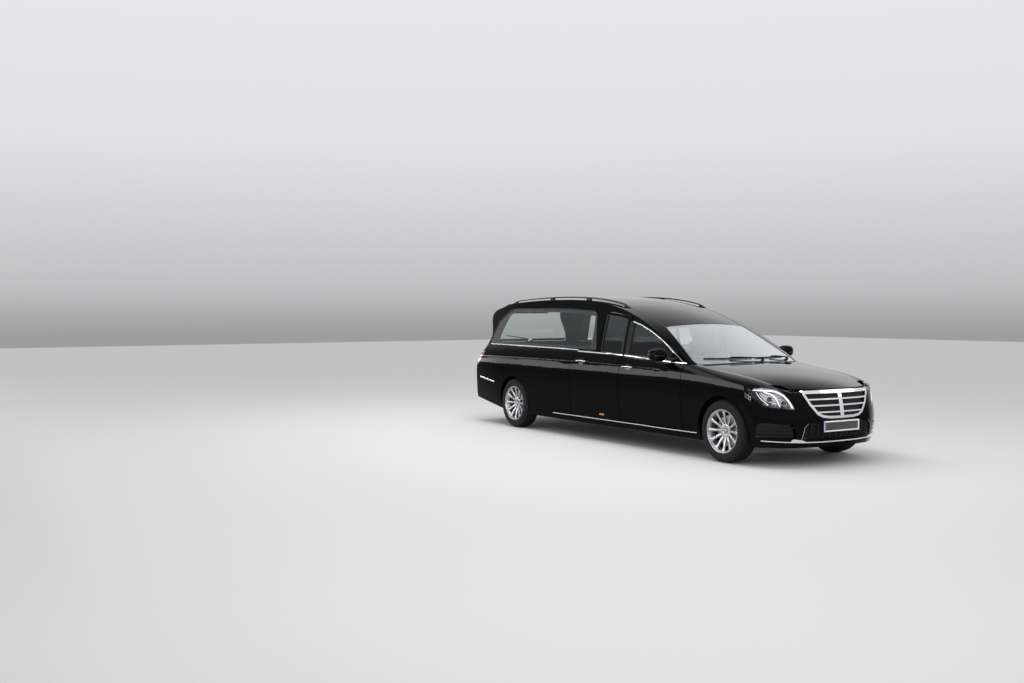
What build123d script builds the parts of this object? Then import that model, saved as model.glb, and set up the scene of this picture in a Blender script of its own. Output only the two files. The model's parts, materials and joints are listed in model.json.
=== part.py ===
# A long-wheelbase four-door hearse: body panels, glass, doors, bonnet and tailgate, cabin, deck, running gear.
# Frame: +X towards the nose, +Y to the left-hand side, +Z up, origin on the ground under the middle of the body.
# Places along the car are given forward of the front axle and moved into the frame by forward().
import os
from math import sqrt

from build123d import *

os.makedirs("parts", exist_ok=True)

# Driving dimensions, mm
WHEELBASE = 4180
FRONT_OVERHANG = 836
REAR_OVERHANG = 1184
HALF_WIDTH = 926
TRACK = 1590
TYRE_RADIUS = 335
AXLE_Z = TYRE_RADIUS
TYRE_WIDTH = 226
RIM_RADIUS = 236
ARCH_RADIUS = 376
LINER_RADIUS = 388
LINER_THICKNESS = 4
WALL = 68
FRAME = 36
TOP_THICKNESS = 34
END_THICKNESS = 60
GLASS_THICKNESS = 5
GLASS_DEPTH = 4
DOOR_GAP = 8
PANEL_GAP = 8
SEAT_GAP = 0.2
BODY_BOTTOM = 205
DOOR_BOTTOM = 296

FRONT_AXLE_X = (WHEELBASE + FRONT_OVERHANG + REAR_OVERHANG) / 2 - FRONT_OVERHANG
REAR_AXLE = -WHEELBASE
NOSE = FRONT_OVERHANG
TAIL = REAR_AXLE - REAR_OVERHANG
REACH = HALF_WIDTH + 200

# Lower body sections: x forward of the axle, side width, shoulder z, belt or crease y, belt or crease z, centre z
BODY_STATIONS = [
    (936, 700, 690, 470, 700, 715),
    (700, 800, 735, 560, 765, 832),
    (500, 866, 790, 630, 835, 893),
    (0, 918, 878, 715, 938, 985),
    (-620, 926, 925, 800, 1018, 1052),
    (-1264, 926, 936, 850, 1052, 1075),
    (-2264, 926, 948, 850, 1092, 1110),
    (-3464, 926, 952, 846, 1118, 1135),
    (-4180, 918, 952, 836, 1124, 1140),
    (-4764, 904, 950, 820, 1128, 1140),
    (-5464, 868, 945, 780, 1128, 1140),
]
SILL_TUCK, SIDE_TUCK, SHOULDER_TUCK = 62, 3, 12
SIDE_MID_Z = 560
BULGE_Y, BULGE_Z = 14, 12

# Glasshouse sides: x forward of the axle, half widths at the three heights
GLASS_LOW, GLASS_MID, GLASS_HIGH = 940, 1350, 1750
GLASSHOUSE_STATIONS = [
    (-364, 749, 655, 530),
    (-764, 841, 757, 635),
    (-1264, 857, 779, 660),
    (-2264, 859, 781, 665),
    (-3464, 855, 778, 662),
    (-4180, 845, 768, 655),
    (-4764, 829, 752, 640),
    (-5464, 790, 712, 600),
]

# Windscreen and roof: x forward of the axle, centre z, crown radius
ROOF_STATIONS = [
    (-180, 930, 2900),
    (-420, 1045, 2900),
    (-850, 1262, 3200),
    (-1270, 1458, 3900),
    (-1600, 1578, 4500),
    (-2000, 1690, 4500),
    (-2500, 1768, 4500),
    (-3100, 1800, 4500),
    (-3600, 1800, 4500),
    (-4200, 1780, 4500),
    (-4700, 1745, 4500),
    (-5300, 1685, 4500),
]

# Nose and tail: z, nose set back from the front end, tail set forward of the rear end, tail width as a share
END_LEVELS = [
    (120, 80, 120, 1.0),
    (300, 18, 38, 1.0),
    (430, 0, 8, 1.0),
    (620, 22, 0, 1.0),
    (800, 70, 4, 1.0),
    (1050, 260, 118, 0.93),
    (1400, 500, 180, 0.81),
    (1640, 660, 282, 0.73),
    (1860, 800, 430, 0.66),
]
# Plan outlines: half width, set back at the nose or forward at the tail
NOSE_PLAN = [(480, 56), (700, 180), (925, 560)]
TAIL_PLAN = [(480, 16), (810, 54), (925, 200)]

# Side outlines of doors and windows, x forward of the axle and z
FRONT_DOOR_X = -647
FRONT_DOOR_RADIUS = 1132
REAR_DOOR_X = FRONT_DOOR_X - FRONT_DOOR_RADIUS - DOOR_GAP
REAR_DOOR_RADIUS = 1003
REAR_FRAME_RADIUS = 527
HINGE_Y = 928
FRONT_DOOR = [
    (FRONT_DOOR_X, DOOR_BOTTOM),
    (FRONT_DOOR_X, 1030),
    (-890, 1178),
    (-1114, 1295),
    (-1330, 1387),
    (-1564, 1468),
    (-1900, 1560),
    (-1900, DOOR_BOTTOM),
]
REAR_DOOR_LOWER = [(-1600, DOOR_BOTTOM), (-1600, 1106), (-2701, 1106), (-2790, 945), (-2850, DOOR_BOTTOM)]
REAR_DOOR_UPPER = [(-1600, 1060), (-1600, 1478), (-1774, 1532), (-2000, 1567), (-2450, 1607), (-2450, 1060)]
FRONT_WINDOW = [
    (-800, 1078),
    (-1065, 1240),
    (-1290, 1343),
    (-1492, 1416),
    (-1600, 1446),
    (-1690, 1466),
    (-1690, 1082),
]
REAR_WINDOW = [(-1838, 1090), (-1838, 1502), (-2000, 1529), (-2245, 1552), (-2240, 1108)]
HEARSE_WINDOW = [
    (-2356, 1130),
    (-2468, 1552),
    (-2540, 1597),
    (-3000, 1624),
    (-3438, 1632),
    (-4000, 1632),
    (-4430, 1630),
    (-4560, 1618),
    (-4690, 1570),
    (-4850, 1463),
    (-4950, 1310),
    (-5035, 1146),
]
TAILGATE_FRONT = -4900


def forward(x):
    """X in the frame of a place given forward of the front axle."""
    return FRONT_AXLE_X + x


def body_tube(inset, drop, bottom):
    """The lower body's whole section lofted end to end, with its sides moved in and its top moved down."""
    with BuildPart() as tube:
        for x, width, shoulder_z, crease_y, crease_z, centre_z in BODY_STATIONS:
            sill = (width - SILL_TUCK - inset, bottom)
            side = (width - SIDE_TUCK - inset, SIDE_MID_Z)
            shoulder = (width - SHOULDER_TUCK - inset, shoulder_z)
            crease = (crease_y - inset, crease_z - drop)
            bulge = ((shoulder[0] + crease[0]) / 2 + BULGE_Y, (shoulder[1] + crease[1]) / 2 + BULGE_Z)
            with BuildSketch(Plane.YZ.offset(forward(x))):
                with BuildLine():
                    ThreePointArc(sill, side, shoulder)
                    ThreePointArc(shoulder, bulge, crease)
                    ThreePointArc(crease, (0, centre_z - drop), (-crease[0], crease[1]))
                    ThreePointArc((-crease[0], crease[1]), (-bulge[0], bulge[1]), (-shoulder[0], shoulder[1]))
                    ThreePointArc((-shoulder[0], shoulder[1]), (-side[0], side[1]), (-sill[0], bottom))
                    Line((-sill[0], bottom), sill)
                make_face()
        loft()
    return tube.part


def glasshouse_tube(inset):
    """The space between the two glasshouse sides, from under the belt to above the roof."""
    with BuildPart() as tube:
        for x, low, mid, high in GLASSHOUSE_STATIONS:
            side = [(low - inset, GLASS_LOW), (mid - inset, GLASS_MID), (high - inset, GLASS_HIGH)]
            with BuildSketch(Plane.YZ.offset(forward(x))):
                with BuildLine():
                    ThreePointArc(*side)
                    Polyline(side[2], (440, GLASS_HIGH + 120), (-440, GLASS_HIGH + 120), (-side[2][0], GLASS_HIGH))
                    ThreePointArc(*[(-y, z) for y, z in reversed(side)])
                    Line((-side[0][0], GLASS_LOW), side[0])
                make_face()
        loft()
    return tube.part


def roof_tube(drop):
    """Everything below the windscreen and roof surface."""
    with BuildPart() as tube:
        for x, z, crown in ROOF_STATIONS:
            edge = z - drop - crown + sqrt(crown**2 - REACH**2)
            with BuildSketch(Plane.YZ.offset(forward(x))):
                with BuildLine():
                    ThreePointArc((-REACH, edge), (0, z - drop), (REACH, edge))
                    Polyline((REACH, edge), (REACH, BODY_BOTTOM - 80), (-REACH, BODY_BOTTOM - 80), (-REACH, edge))
                make_face()
        loft()
    return tube.part


def end_tube(inset):
    """Everything between the curved nose and the curved tail."""
    with BuildPart() as tube:
        for z, nose_back, tail_forward, tail_width in END_LEVELS:
            nose = forward(NOSE - nose_back - inset)
            tail = forward(TAIL + tail_forward + inset)
            front = [(nose - back, y) for y, back in NOSE_PLAN]
            rear = [(tail + ahead, y * tail_width) for y, ahead in TAIL_PLAN]
            with BuildSketch(Plane.XY.offset(z)):
                with BuildLine():
                    ThreePointArc((front[0][0], -front[0][1]), (nose, 0), front[0])
                    ThreePointArc(*front)
                    Polyline(front[2], (front[2][0], REACH), (rear[2][0], REACH), rear[2])
                    ThreePointArc(*reversed(rear))
                    ThreePointArc(rear[0], (tail, 0), (rear[0][0], -rear[0][1]))
                    ThreePointArc(*[(x, -y) for x, y in rear])
                    Polyline(
                        (rear[2][0], -rear[2][1]),
                        (rear[2][0], -REACH),
                        (front[2][0], -REACH),
                        (front[2][0], -front[2][1]),
                    )
                    ThreePointArc(*[(x, -y) for x, y in reversed(front)])
                make_face()
        loft()
    return tube.part


def side_block(outline, near, far, grow=0.0, corner=0.0):
    """A block on the left-hand side with a side-view outline, from near to far in Y."""
    with BuildPart() as block:
        with BuildSketch(Plane.XZ.offset(-far)) as profile:
            with BuildLine():
                Polyline(*[(forward(x), z) for x, z in outline], close=True)
            make_face()
            if grow:
                offset(amount=grow, kind=Kind.INTERSECTION)
            if corner:
                fillet(profile.vertices(), radius=corner)
        extrude(amount=far - near)
    return block.part


def plan_block(outline, bottom, top, grow=0.0):
    """A block with a plan outline, x forward of the axle and y, from bottom to top."""
    with BuildPart() as block:
        with BuildSketch(Plane.XY.offset(bottom)):
            with BuildLine():
                Polyline(*[(forward(x), y) for x, y in outline], close=True)
            make_face()
            if grow:
                offset(amount=grow, kind=Kind.INTERSECTION)
        extrude(amount=top - bottom)
    return block.part


def end_block(outline, back, front, grow=0.0, corner=0.0):
    """A block with a front-view outline, y and z, between two places along the car."""
    with BuildPart() as block:
        with BuildSketch(Plane.YZ.offset(forward(back))) as profile:
            with BuildLine():
                Polyline(*outline, close=True)
            make_face()
            if grow:
                offset(amount=grow, kind=Kind.INTERSECTION)
            if corner:
                fillet(profile.vertices(), radius=corner)
        extrude(amount=front - back)
    return block.part


def box_between(low, high):
    """A block between two corners, x forward of the axle, y and z."""
    with BuildPart() as block:
        with Locations((forward(low[0]), low[1], low[2])):
            Box(*[b - a for a, b in zip(low, high)], align=(Align.MIN, Align.MIN, Align.MIN))
    return block.part


def hinge_drum(x, radius):
    """A drum round a door's hinge axis, so an edge cut by it keeps its gap as the door swings."""
    with BuildPart() as drum:
        with Locations((forward(x), HINGE_Y, 0)):
            Cylinder(radius, 2400, align=(Align.CENTER, Align.CENTER, Align.MIN))
    return drum.part


def arch_drum(axle, radius, near, far):
    """A drum along Y on the left-hand side, round a wheel's axle."""
    with BuildPart() as drum:
        with BuildSketch(Plane.XZ.offset(-far)):
            with Locations((forward(axle), TYRE_RADIUS)):
                Circle(radius)
        extrude(amount=far - near)
    return drum.part


# The hollow body that the panels are cut from
LOWER_OUTER = body_tube(0, 0, BODY_BOTTOM)
HOUSE_OUTER = glasshouse_tube(0)
ROOF_OUTER = roof_tube(0)
ENDS = end_tube(0)
HOUSE_INNER = glasshouse_tube(FRAME)

with BuildPart() as hollow_house:
    add(HOUSE_INNER)
    add(roof_tube(TOP_THICKNESS), mode=Mode.INTERSECT)
    add(end_tube(END_THICKNESS), mode=Mode.INTERSECT)

with BuildPart() as hollow_body:
    add(body_tube(WALL, TOP_THICKNESS, BODY_BOTTOM - 60))
    add(end_tube(END_THICKNESS), mode=Mode.INTERSECT)

with BuildPart() as house_shell:
    add(HOUSE_OUTER)
    add(ROOF_OUTER, mode=Mode.INTERSECT)
    add(ENDS, mode=Mode.INTERSECT)
    add(hollow_house.part, mode=Mode.SUBTRACT)
    add(hollow_body.part, mode=Mode.SUBTRACT)

with BuildPart() as lower_shell:
    add(LOWER_OUTER)
    add(ENDS, mode=Mode.INTERSECT)
    add(hollow_body.part, mode=Mode.SUBTRACT)
    add(hollow_house.part, mode=Mode.SUBTRACT)

with BuildPart() as shell:
    add(lower_shell.part)
    add(house_shell.part)
    add(box_between((TAIL - 50, -REACH, 100), (NOSE + 50, 0, 2000)), mode=Mode.SUBTRACT)

# Openings in the left-hand side
with BuildPart() as front_door_space:
    add(side_block(FRONT_DOOR, 480, REACH, DOOR_GAP))
    add(hinge_drum(FRONT_DOOR_X, FRONT_DOOR_RADIUS + DOOR_GAP / 2), mode=Mode.INTERSECT)

with BuildPart() as rear_door_space:
    add(side_block(REAR_DOOR_LOWER, 480, REACH, DOOR_GAP))
    add(hinge_drum(REAR_DOOR_X, REAR_DOOR_RADIUS + DOOR_GAP), mode=Mode.INTERSECT)
    add(hinge_drum(FRONT_DOOR_X, FRONT_DOOR_RADIUS), mode=Mode.SUBTRACT)

with BuildPart() as rear_frame_space:
    add(side_block(REAR_DOOR_UPPER, 480, REACH, DOOR_GAP))
    add(hinge_drum(REAR_DOOR_X, REAR_FRAME_RADIUS + DOOR_GAP), mode=Mode.INTERSECT)
    add(hinge_drum(FRONT_DOOR_X, FRONT_DOOR_RADIUS), mode=Mode.SUBTRACT)

# Front-view outlines of tailgate, lamps and grille, y and z
TAILGATE = [(0, 486), (640, 486), (690, 800), (700, 1120), (628, 1600), (598, 1800), (0, 1800)]
TAILGATE_WINDOW = [(0, 1150), (640, 1150), (540, 1590), (0, 1605)]
TAIL_LAMP = [(660, 800), (960, 800), (960, 1030), (680, 1030)]
TAIL_LAMP_SIDE = [(-5500, 700), (-5300, 770), (-5235, 812), (-5100, 930), (-5010, 1034), (-5500, 1034)]
HEADLAMP = [
    (880, 812),
    (884, 700),
    (800, 626),
    (423, 583),
    (470, 660),
    (500, 735),
    (512, 793),
    (556, 793),
    (578, 829),
    (740, 842),
]
GRILLE = [(0, 500), (180, 502), (270, 514), (335, 545), (417, 643), (478, 752), (482, 776), (466, 790), (0, 794)]
GRILLE_RIM = (36, 26)
SLAT_Z, SLAT_HEIGHT, CENTRE_BAR = (700, 635, 568), 15, 16
SIDE_INTAKE = [(575, 302), (560, 340), (600, 452), (830, 470), (890, 440), (890, 300)]
CENTRE_INTAKE = [(0, 290), (500, 296), (480, 420), (440, 462), (290, 470), (280, 512), (0, 508)]
INTAKE_DEPTH = 30
BONNET_PLAN = [
    (-330, 0),
    (-352, 300),
    (-430, 600),
    (-566, 800),
    (-300, 792),
    (0, 770),
    (300, 735),
    (480, 690),
    (600, 630),
    (700, 545),
    (760, 470),
    (860, 300),
    (860, 0),
]
BONNET_SIDE = [(-700, 940), (0, 860), (500, 780), (640, 802), (900, 802), (900, 1150), (-700, 1150)]
SCREEN_PLAN = [(-300, 0), (-300, 610), (-500, 745), (-620, 757), (-1290, 600), (-1262, 300), (-1252, 0)]
SCUTTLE_HALF = 760
REAR_BUMPER_SIDE = [(-4400, 100), (-4400, 560), (-4800, 640), (-5500, 640), (-5500, 100)]
REAR_BUMPER_RISE = [(-4400, 100), (-4400, 206), (-4556, 236), (-5500, 398), (-5500, 100)]
BUMPER_SIDE = [(330, 100), (345, 520), (440, 790), (900, 812), (960, 812), (960, 100)]

with BuildPart() as bonnet_space:
    add(plan_block(BONNET_PLAN, 600, 1200))
    add(side_block(BONNET_SIDE, 0, REACH), mode=Mode.INTERSECT)

with BuildPart() as bonnet_opening:
    add(plan_block(BONNET_PLAN, 600, 1200, PANEL_GAP))
    add(side_block(BONNET_SIDE, 0, REACH, PANEL_GAP), mode=Mode.INTERSECT)

HEADLAMP_SPACE = end_block(HEADLAMP, 300, 900)

with BuildPart() as tail_lamp_space:
    add(end_block(TAIL_LAMP, TAIL - 20, TAILGATE_FRONT))
    add(side_block(TAIL_LAMP_SIDE, 480, REACH), mode=Mode.INTERSECT)

TAIL_LAMP_SPACE = tail_lamp_space.part
TAILGATE_SPACE = end_block(TAILGATE, TAIL - 20, TAILGATE_FRONT)
TAILGATE_OPENING = end_block(TAILGATE, TAIL - 20, TAILGATE_FRONT + PANEL_GAP, PANEL_GAP)

with BuildPart() as screen_space:
    add(plan_block(SCREEN_PLAN, 900, 1600))

with BuildPart() as front_door:
    add(shell.part)
    add(side_block(FRONT_DOOR, 480, REACH), mode=Mode.INTERSECT)
    add(hinge_drum(FRONT_DOOR_X, FRONT_DOOR_RADIUS), mode=Mode.INTERSECT)
    add(side_block(FRONT_WINDOW, 480, REACH, corner=14), mode=Mode.SUBTRACT)

with BuildPart() as rear_door_region:
    add(side_block(REAR_DOOR_LOWER, 480, REACH))
    add(hinge_drum(REAR_DOOR_X, REAR_DOOR_RADIUS), mode=Mode.INTERSECT)

with BuildPart() as rear_frame_region:
    add(side_block(REAR_DOOR_UPPER, 480, REACH))
    add(hinge_drum(REAR_DOOR_X, REAR_FRAME_RADIUS), mode=Mode.INTERSECT)

with BuildPart() as rear_door:
    add(rear_door_region.part)
    add(rear_frame_region.part)
    add(shell.part, mode=Mode.INTERSECT)
    add(hinge_drum(FRONT_DOOR_X, FRONT_DOOR_RADIUS + DOOR_GAP), mode=Mode.SUBTRACT)
    add(side_block(REAR_WINDOW, 480, REACH, corner=14), mode=Mode.SUBTRACT)

# Glass bands follow the glasshouse sides, just under the skin
with BuildPart() as side_band:
    add(glasshouse_tube(GLASS_DEPTH))
    add(glasshouse_tube(GLASS_DEPTH + GLASS_THICKNESS), mode=Mode.SUBTRACT)

with BuildPart() as front_glass:
    add(side_band.part)
    add(side_block(FRONT_WINDOW, 480, REACH, corner=14), mode=Mode.INTERSECT)

with BuildPart() as rear_glass:
    add(side_band.part)
    add(side_block(REAR_WINDOW, 480, REACH, corner=14), mode=Mode.INTERSECT)

with BuildPart() as hearse_glass:
    add(side_band.part)
    add(side_block(HEARSE_WINDOW, 480, REACH, corner=30), mode=Mode.INTERSECT)

with BuildPart() as half_screen:
    add(roof_tube(2))
    add(roof_tube(2 + GLASS_THICKNESS), mode=Mode.SUBTRACT)
    add(screen_space.part, mode=Mode.INTERSECT)
    add(LOWER_OUTER, mode=Mode.SUBTRACT)

# Panels of the left-hand side
with BuildPart() as bonnet_half:
    add(shell.part)
    add(bonnet_space.part, mode=Mode.INTERSECT)
    add(end_block(HEADLAMP, 300, 900, PANEL_GAP), mode=Mode.SUBTRACT)

with BuildPart() as intakes:
    add(end_block(SIDE_INTAKE, 380, 900))
    add(end_block(CENTRE_INTAKE, 600, 900))
    add(end_tube(INTAKE_DEPTH), mode=Mode.SUBTRACT)

with BuildPart() as bumper_half:
    add(shell.part)
    add(side_block(BUMPER_SIDE, 0, REACH), mode=Mode.INTERSECT)
    add(bonnet_opening.part, mode=Mode.SUBTRACT)
    add(end_block(GRILLE, 500, 900), mode=Mode.SUBTRACT)
    add(intakes.part, mode=Mode.SUBTRACT)
    add(HEADLAMP_SPACE, mode=Mode.SUBTRACT)
    add(arch_drum(0, ARCH_RADIUS, 480, REACH), mode=Mode.SUBTRACT)
    add(box_between((300, 0, 780), (1000, 560, 1000)), mode=Mode.SUBTRACT)

with BuildPart() as wing:
    add(shell.part)
    add(box_between((-639, 300, 150), (900, REACH, 1200)), mode=Mode.INTERSECT)
    add(bonnet_opening.part, mode=Mode.SUBTRACT)
    add(bumper_half.part, mode=Mode.SUBTRACT)
    add(HEADLAMP_SPACE, mode=Mode.SUBTRACT)
    add(box_between((540, 0, 100), (1000, 560, 810)), mode=Mode.SUBTRACT)
    add(box_between((-640, 0, 700), (-200, SCUTTLE_HALF, 1200)), mode=Mode.SUBTRACT)
    add(house_shell.part, mode=Mode.SUBTRACT)
    add(hollow_house.part, mode=Mode.SUBTRACT)
    add(intakes.part, mode=Mode.SUBTRACT)
    add(arch_drum(0, ARCH_RADIUS, 480, REACH), mode=Mode.SUBTRACT)
    add(box_between((-600, SCUTTLE_HALF - 10, 990), (-540, 800, 1016)), mode=Mode.SUBTRACT)

GUTTER_SEAT, GUTTER_THICKNESS = 0.3, 10
with BuildPart() as gutter:
    add(plan_block(BONNET_PLAN, 600, 1200, PANEL_GAP + 14))
    add(plan_block(BONNET_PLAN, 600, 1200, -26), mode=Mode.SUBTRACT)
    add(body_tube(WALL, TOP_THICKNESS + GUTTER_SEAT, BODY_BOTTOM), mode=Mode.INTERSECT)
    add(body_tube(WALL, TOP_THICKNESS + GUTTER_THICKNESS, BODY_BOTTOM - 5), mode=Mode.SUBTRACT)
    add(box_between((-500, 400, 700), (330, REACH, 1200)), mode=Mode.INTERSECT)

with BuildPart() as gutter_root:
    add(plan_block(BONNET_PLAN, 600, 1200, PANEL_GAP + 14))
    add(plan_block(BONNET_PLAN, 600, 1200, PANEL_GAP + 1), mode=Mode.SUBTRACT)
    add(body_tube(WALL, TOP_THICKNESS - 2, BODY_BOTTOM), mode=Mode.INTERSECT)
    add(body_tube(WALL, TOP_THICKNESS + GUTTER_THICKNESS, BODY_BOTTOM - 5), mode=Mode.SUBTRACT)
    add(box_between((-500, 400, 700), (330, REACH, 1200)), mode=Mode.INTERSECT)

with BuildPart() as wing_with_gutter:
    add(wing.part)
    add(gutter.part)
    add(gutter_root.part)

with BuildPart() as headlamp:
    add(shell.part)
    add(HEADLAMP_SPACE, mode=Mode.INTERSECT)
    add(bonnet_opening.part, mode=Mode.SUBTRACT)

ROOF_BACK = TAILGATE_FRONT + PANEL_GAP
ROOF_PLAN = [(-1252, 0), (-1262, 300), (-1290, 600), (-2000, 600), (-4200, 590), (ROOF_BACK, 566), (ROOF_BACK, 0)]
ROOF_SPACE = plan_block(ROOF_PLAN, 1300, 1900)

with BuildPart() as roof_half:
    add(house_shell.part)
    add(ROOF_SPACE, mode=Mode.INTERSECT)

with BuildPart() as roof_with_hinge:
    add(house_shell.part)
    add(box_between((TAILGATE_FRONT + 0.3, 300, 1600), (ROOF_BACK + 12, 360, 1900)), mode=Mode.INTERSECT)
    add(roof_tube(3), mode=Mode.INTERSECT)
    add(roof_half.part)

with BuildPart() as scuttle_half:
    add(lower_shell.part)
    add(box_between((-639, 0, 900), (-200, SCUTTLE_HALF, 1200)), mode=Mode.INTERSECT)
    add(bonnet_opening.part, mode=Mode.SUBTRACT)
    add(house_shell.part, mode=Mode.SUBTRACT)
    add(hollow_house.part, mode=Mode.SUBTRACT)

with BuildPart() as body_side:
    add(shell.part)
    add(box_between((TAIL - 50, 0, 100), (-639, REACH, 2000)), mode=Mode.INTERSECT)
    add(house_shell.part)
    add(box_between((TAIL - 50, -REACH, 100), (NOSE, 0, 2000)), mode=Mode.SUBTRACT)
    add(ROOF_SPACE, mode=Mode.SUBTRACT)
    add(front_door_space.part, mode=Mode.SUBTRACT)
    add(rear_door_space.part, mode=Mode.SUBTRACT)
    add(rear_frame_space.part, mode=Mode.SUBTRACT)
    add(side_block(HEARSE_WINDOW, 480, REACH, corner=30), mode=Mode.SUBTRACT)
    add(plan_block(SCREEN_PLAN, 900, 1600), mode=Mode.SUBTRACT)
    add(bonnet_opening.part, mode=Mode.SUBTRACT)
    add(TAILGATE_OPENING, mode=Mode.SUBTRACT)
    add(TAIL_LAMP_SPACE, mode=Mode.SUBTRACT)
    add(side_block(REAR_BUMPER_SIDE, 0, REACH), mode=Mode.SUBTRACT)
    add(arch_drum(REAR_AXLE, ARCH_RADIUS, 480, REACH), mode=Mode.SUBTRACT)

with BuildPart() as rear_bumper_half:
    add(shell.part)
    add(side_block(REAR_BUMPER_SIDE, 0, REACH), mode=Mode.INTERSECT)
    add(side_block(REAR_BUMPER_RISE, 0, REACH), mode=Mode.SUBTRACT)
    add(TAILGATE_OPENING, mode=Mode.SUBTRACT)
    add(arch_drum(REAR_AXLE, ARCH_RADIUS, 480, REACH), mode=Mode.SUBTRACT)

with BuildPart() as tailgate_half:
    add(shell.part)
    add(TAILGATE_SPACE, mode=Mode.INTERSECT)
    add(end_block(TAILGATE_WINDOW, TAIL - 20, TAILGATE_FRONT + 50, corner=20), mode=Mode.SUBTRACT)

with BuildPart() as tail_lamp:
    add(shell.part)
    add(TAIL_LAMP_SPACE, mode=Mode.INTERSECT)
    add(TAILGATE_OPENING, mode=Mode.SUBTRACT)

# Underbody: floor, boxes for the deck, liners, subframes, engine, exhaust
FLOOR_Z, FLOOR_THICKNESS = 222, 14
FLOOR_HALF = 860
FIREWALL_X = -700
HEEL_X = -2640
DECK_Z = 900
DECK_HALF = 600
KICK_UP_Z = 520

FLOOR_TOP = FLOOR_Z + FLOOR_THICKNESS

with BuildPart() as floor_pan:
    add(box_between((HEEL_X, -FLOOR_HALF, FLOOR_Z), (FIREWALL_X, FLOOR_HALF, FLOOR_TOP)))
    add(box_between((FIREWALL_X - 10, -FLOOR_HALF, FLOOR_Z), (FIREWALL_X, FLOOR_HALF, 940)))
    add(box_between((HEEL_X, -600, FLOOR_Z), (HEEL_X + 10, 600, KICK_UP_Z + 10)))
    add(box_between((-5230, -600, KICK_UP_Z), (HEEL_X + 10, 600, KICK_UP_Z + 10)))
    add(box_between((-1600, -100, FLOOR_Z), (FIREWALL_X, 100, FLOOR_TOP + 110)))
    add(hollow_body.part, mode=Mode.INTERSECT)

BIER_PIN_X, BIER_PIN_SPAN, BIER_PIN_WIDTH, BIER_PIN_RADIUS = -3850, 1800, 420, 6
DECK = [(-5040, -DECK_HALF), (-5040, DECK_HALF), (-2600, DECK_HALF), (-2600, -DECK_HALF)]
with BuildPart() as bier_deck:
    add(plan_block(DECK, DECK_Z - 24, DECK_Z))
    for x in (-5000, -3900, -2700):
        add(box_between((x, -DECK_HALF + 20, KICK_UP_Z + 10), (x + 40, DECK_HALF - 20, DECK_Z - 24)))
    with Locations((forward(BIER_PIN_X), 0, DECK_Z)):
        with GridLocations(BIER_PIN_SPAN, BIER_PIN_WIDTH, 2, 2):
            Hole(BIER_PIN_RADIUS, depth=24)

with BuildPart() as partition:
    with BuildSketch(Plane.YZ.offset(forward(-2600))) as partition_face:
        with BuildLine():
            Polyline((-740, 600), (-740, 1100), (-630, 1640), (630, 1640), (740, 1100), (740, 600), close=True)
        make_face()
        with BuildLine():
            Polyline((-690, 1180), (-600, 1590), (600, 1590), (690, 1180), close=True)
        make_face(mode=Mode.SUBTRACT)
    extrude(amount=20)

with BuildPart() as engine_block:
    add(box_between((-380, -250, 300), (330, 250, 740)))

SUBFRAME_Z = (218, 300)
SUBFRAME_FRONT = 650
with BuildPart() as front_subframe:
    for side in (-1, 1):
        y = sorted((side * 380, side * 440))
        add(box_between((FIREWALL_X, y[0], SUBFRAME_Z[0]), (SUBFRAME_FRONT, y[1], SUBFRAME_Z[1])))
    add(box_between((-120, -440, SUBFRAME_Z[0]), (120, 440, SUBFRAME_Z[1])))
    add(box_between((SUBFRAME_FRONT - 60, -440, SUBFRAME_Z[0]), (SUBFRAME_FRONT, 440, SUBFRAME_Z[1])))

with BuildPart() as wheel_liners:
    for axle, inner in ((0, 468), (REAR_AXLE, 606)):
        for side in (-1, 1):
            with BuildSketch(Plane.XZ.offset(-side * inner)):
                with Locations((forward(axle), AXLE_Z)):
                    Circle(LINER_RADIUS + LINER_THICKNESS)
                    Circle(LINER_RADIUS, mode=Mode.SUBTRACT)
                with Locations((forward(axle), AXLE_Z - 100)):
                    Rectangle(1000, 1000, align=(Align.CENTER, Align.MAX), mode=Mode.SUBTRACT)
            extrude(amount=-side * (900 - inner))
    add(hollow_body.part, mode=Mode.INTERSECT)

# Wheels: a tyre ring, and a rim with its spoked disc, turned about the axle
WHEEL_Y = TRACK / 2
HUB_RADIUS = 30
SPOKES = 12


def wheel_axis(axle):
    """The axle line of a wheel."""
    return Axis((forward(axle), 0, AXLE_Z), (0, 1, 0))


def tyre_at(axle, side):
    """One tyre, a hollow ring on its rim."""
    centre = side * WHEEL_Y
    outer = [(-98, 219), (-98, 239), (-112, 262), (-108, 300), (-92, 327), (-60, TYRE_RADIUS), (60, TYRE_RADIUS), (92, 327)]
    outer += [(108, 300), (112, 262), (98, 239), (98, 219)]
    inner = [(84, 219), (98, 262), (92, 300), (76, 314), (-76, 314), (-92, 300), (-98, 262), (-84, 219)]
    with BuildPart() as tyre:
        with BuildSketch(Plane.YZ.offset(forward(axle))):
            with BuildLine():
                Polyline(*[(centre + y, AXLE_Z + r) for y, r in outer + inner], close=True)
            make_face()
        revolve(axis=wheel_axis(axle))
    return tyre.part


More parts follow.
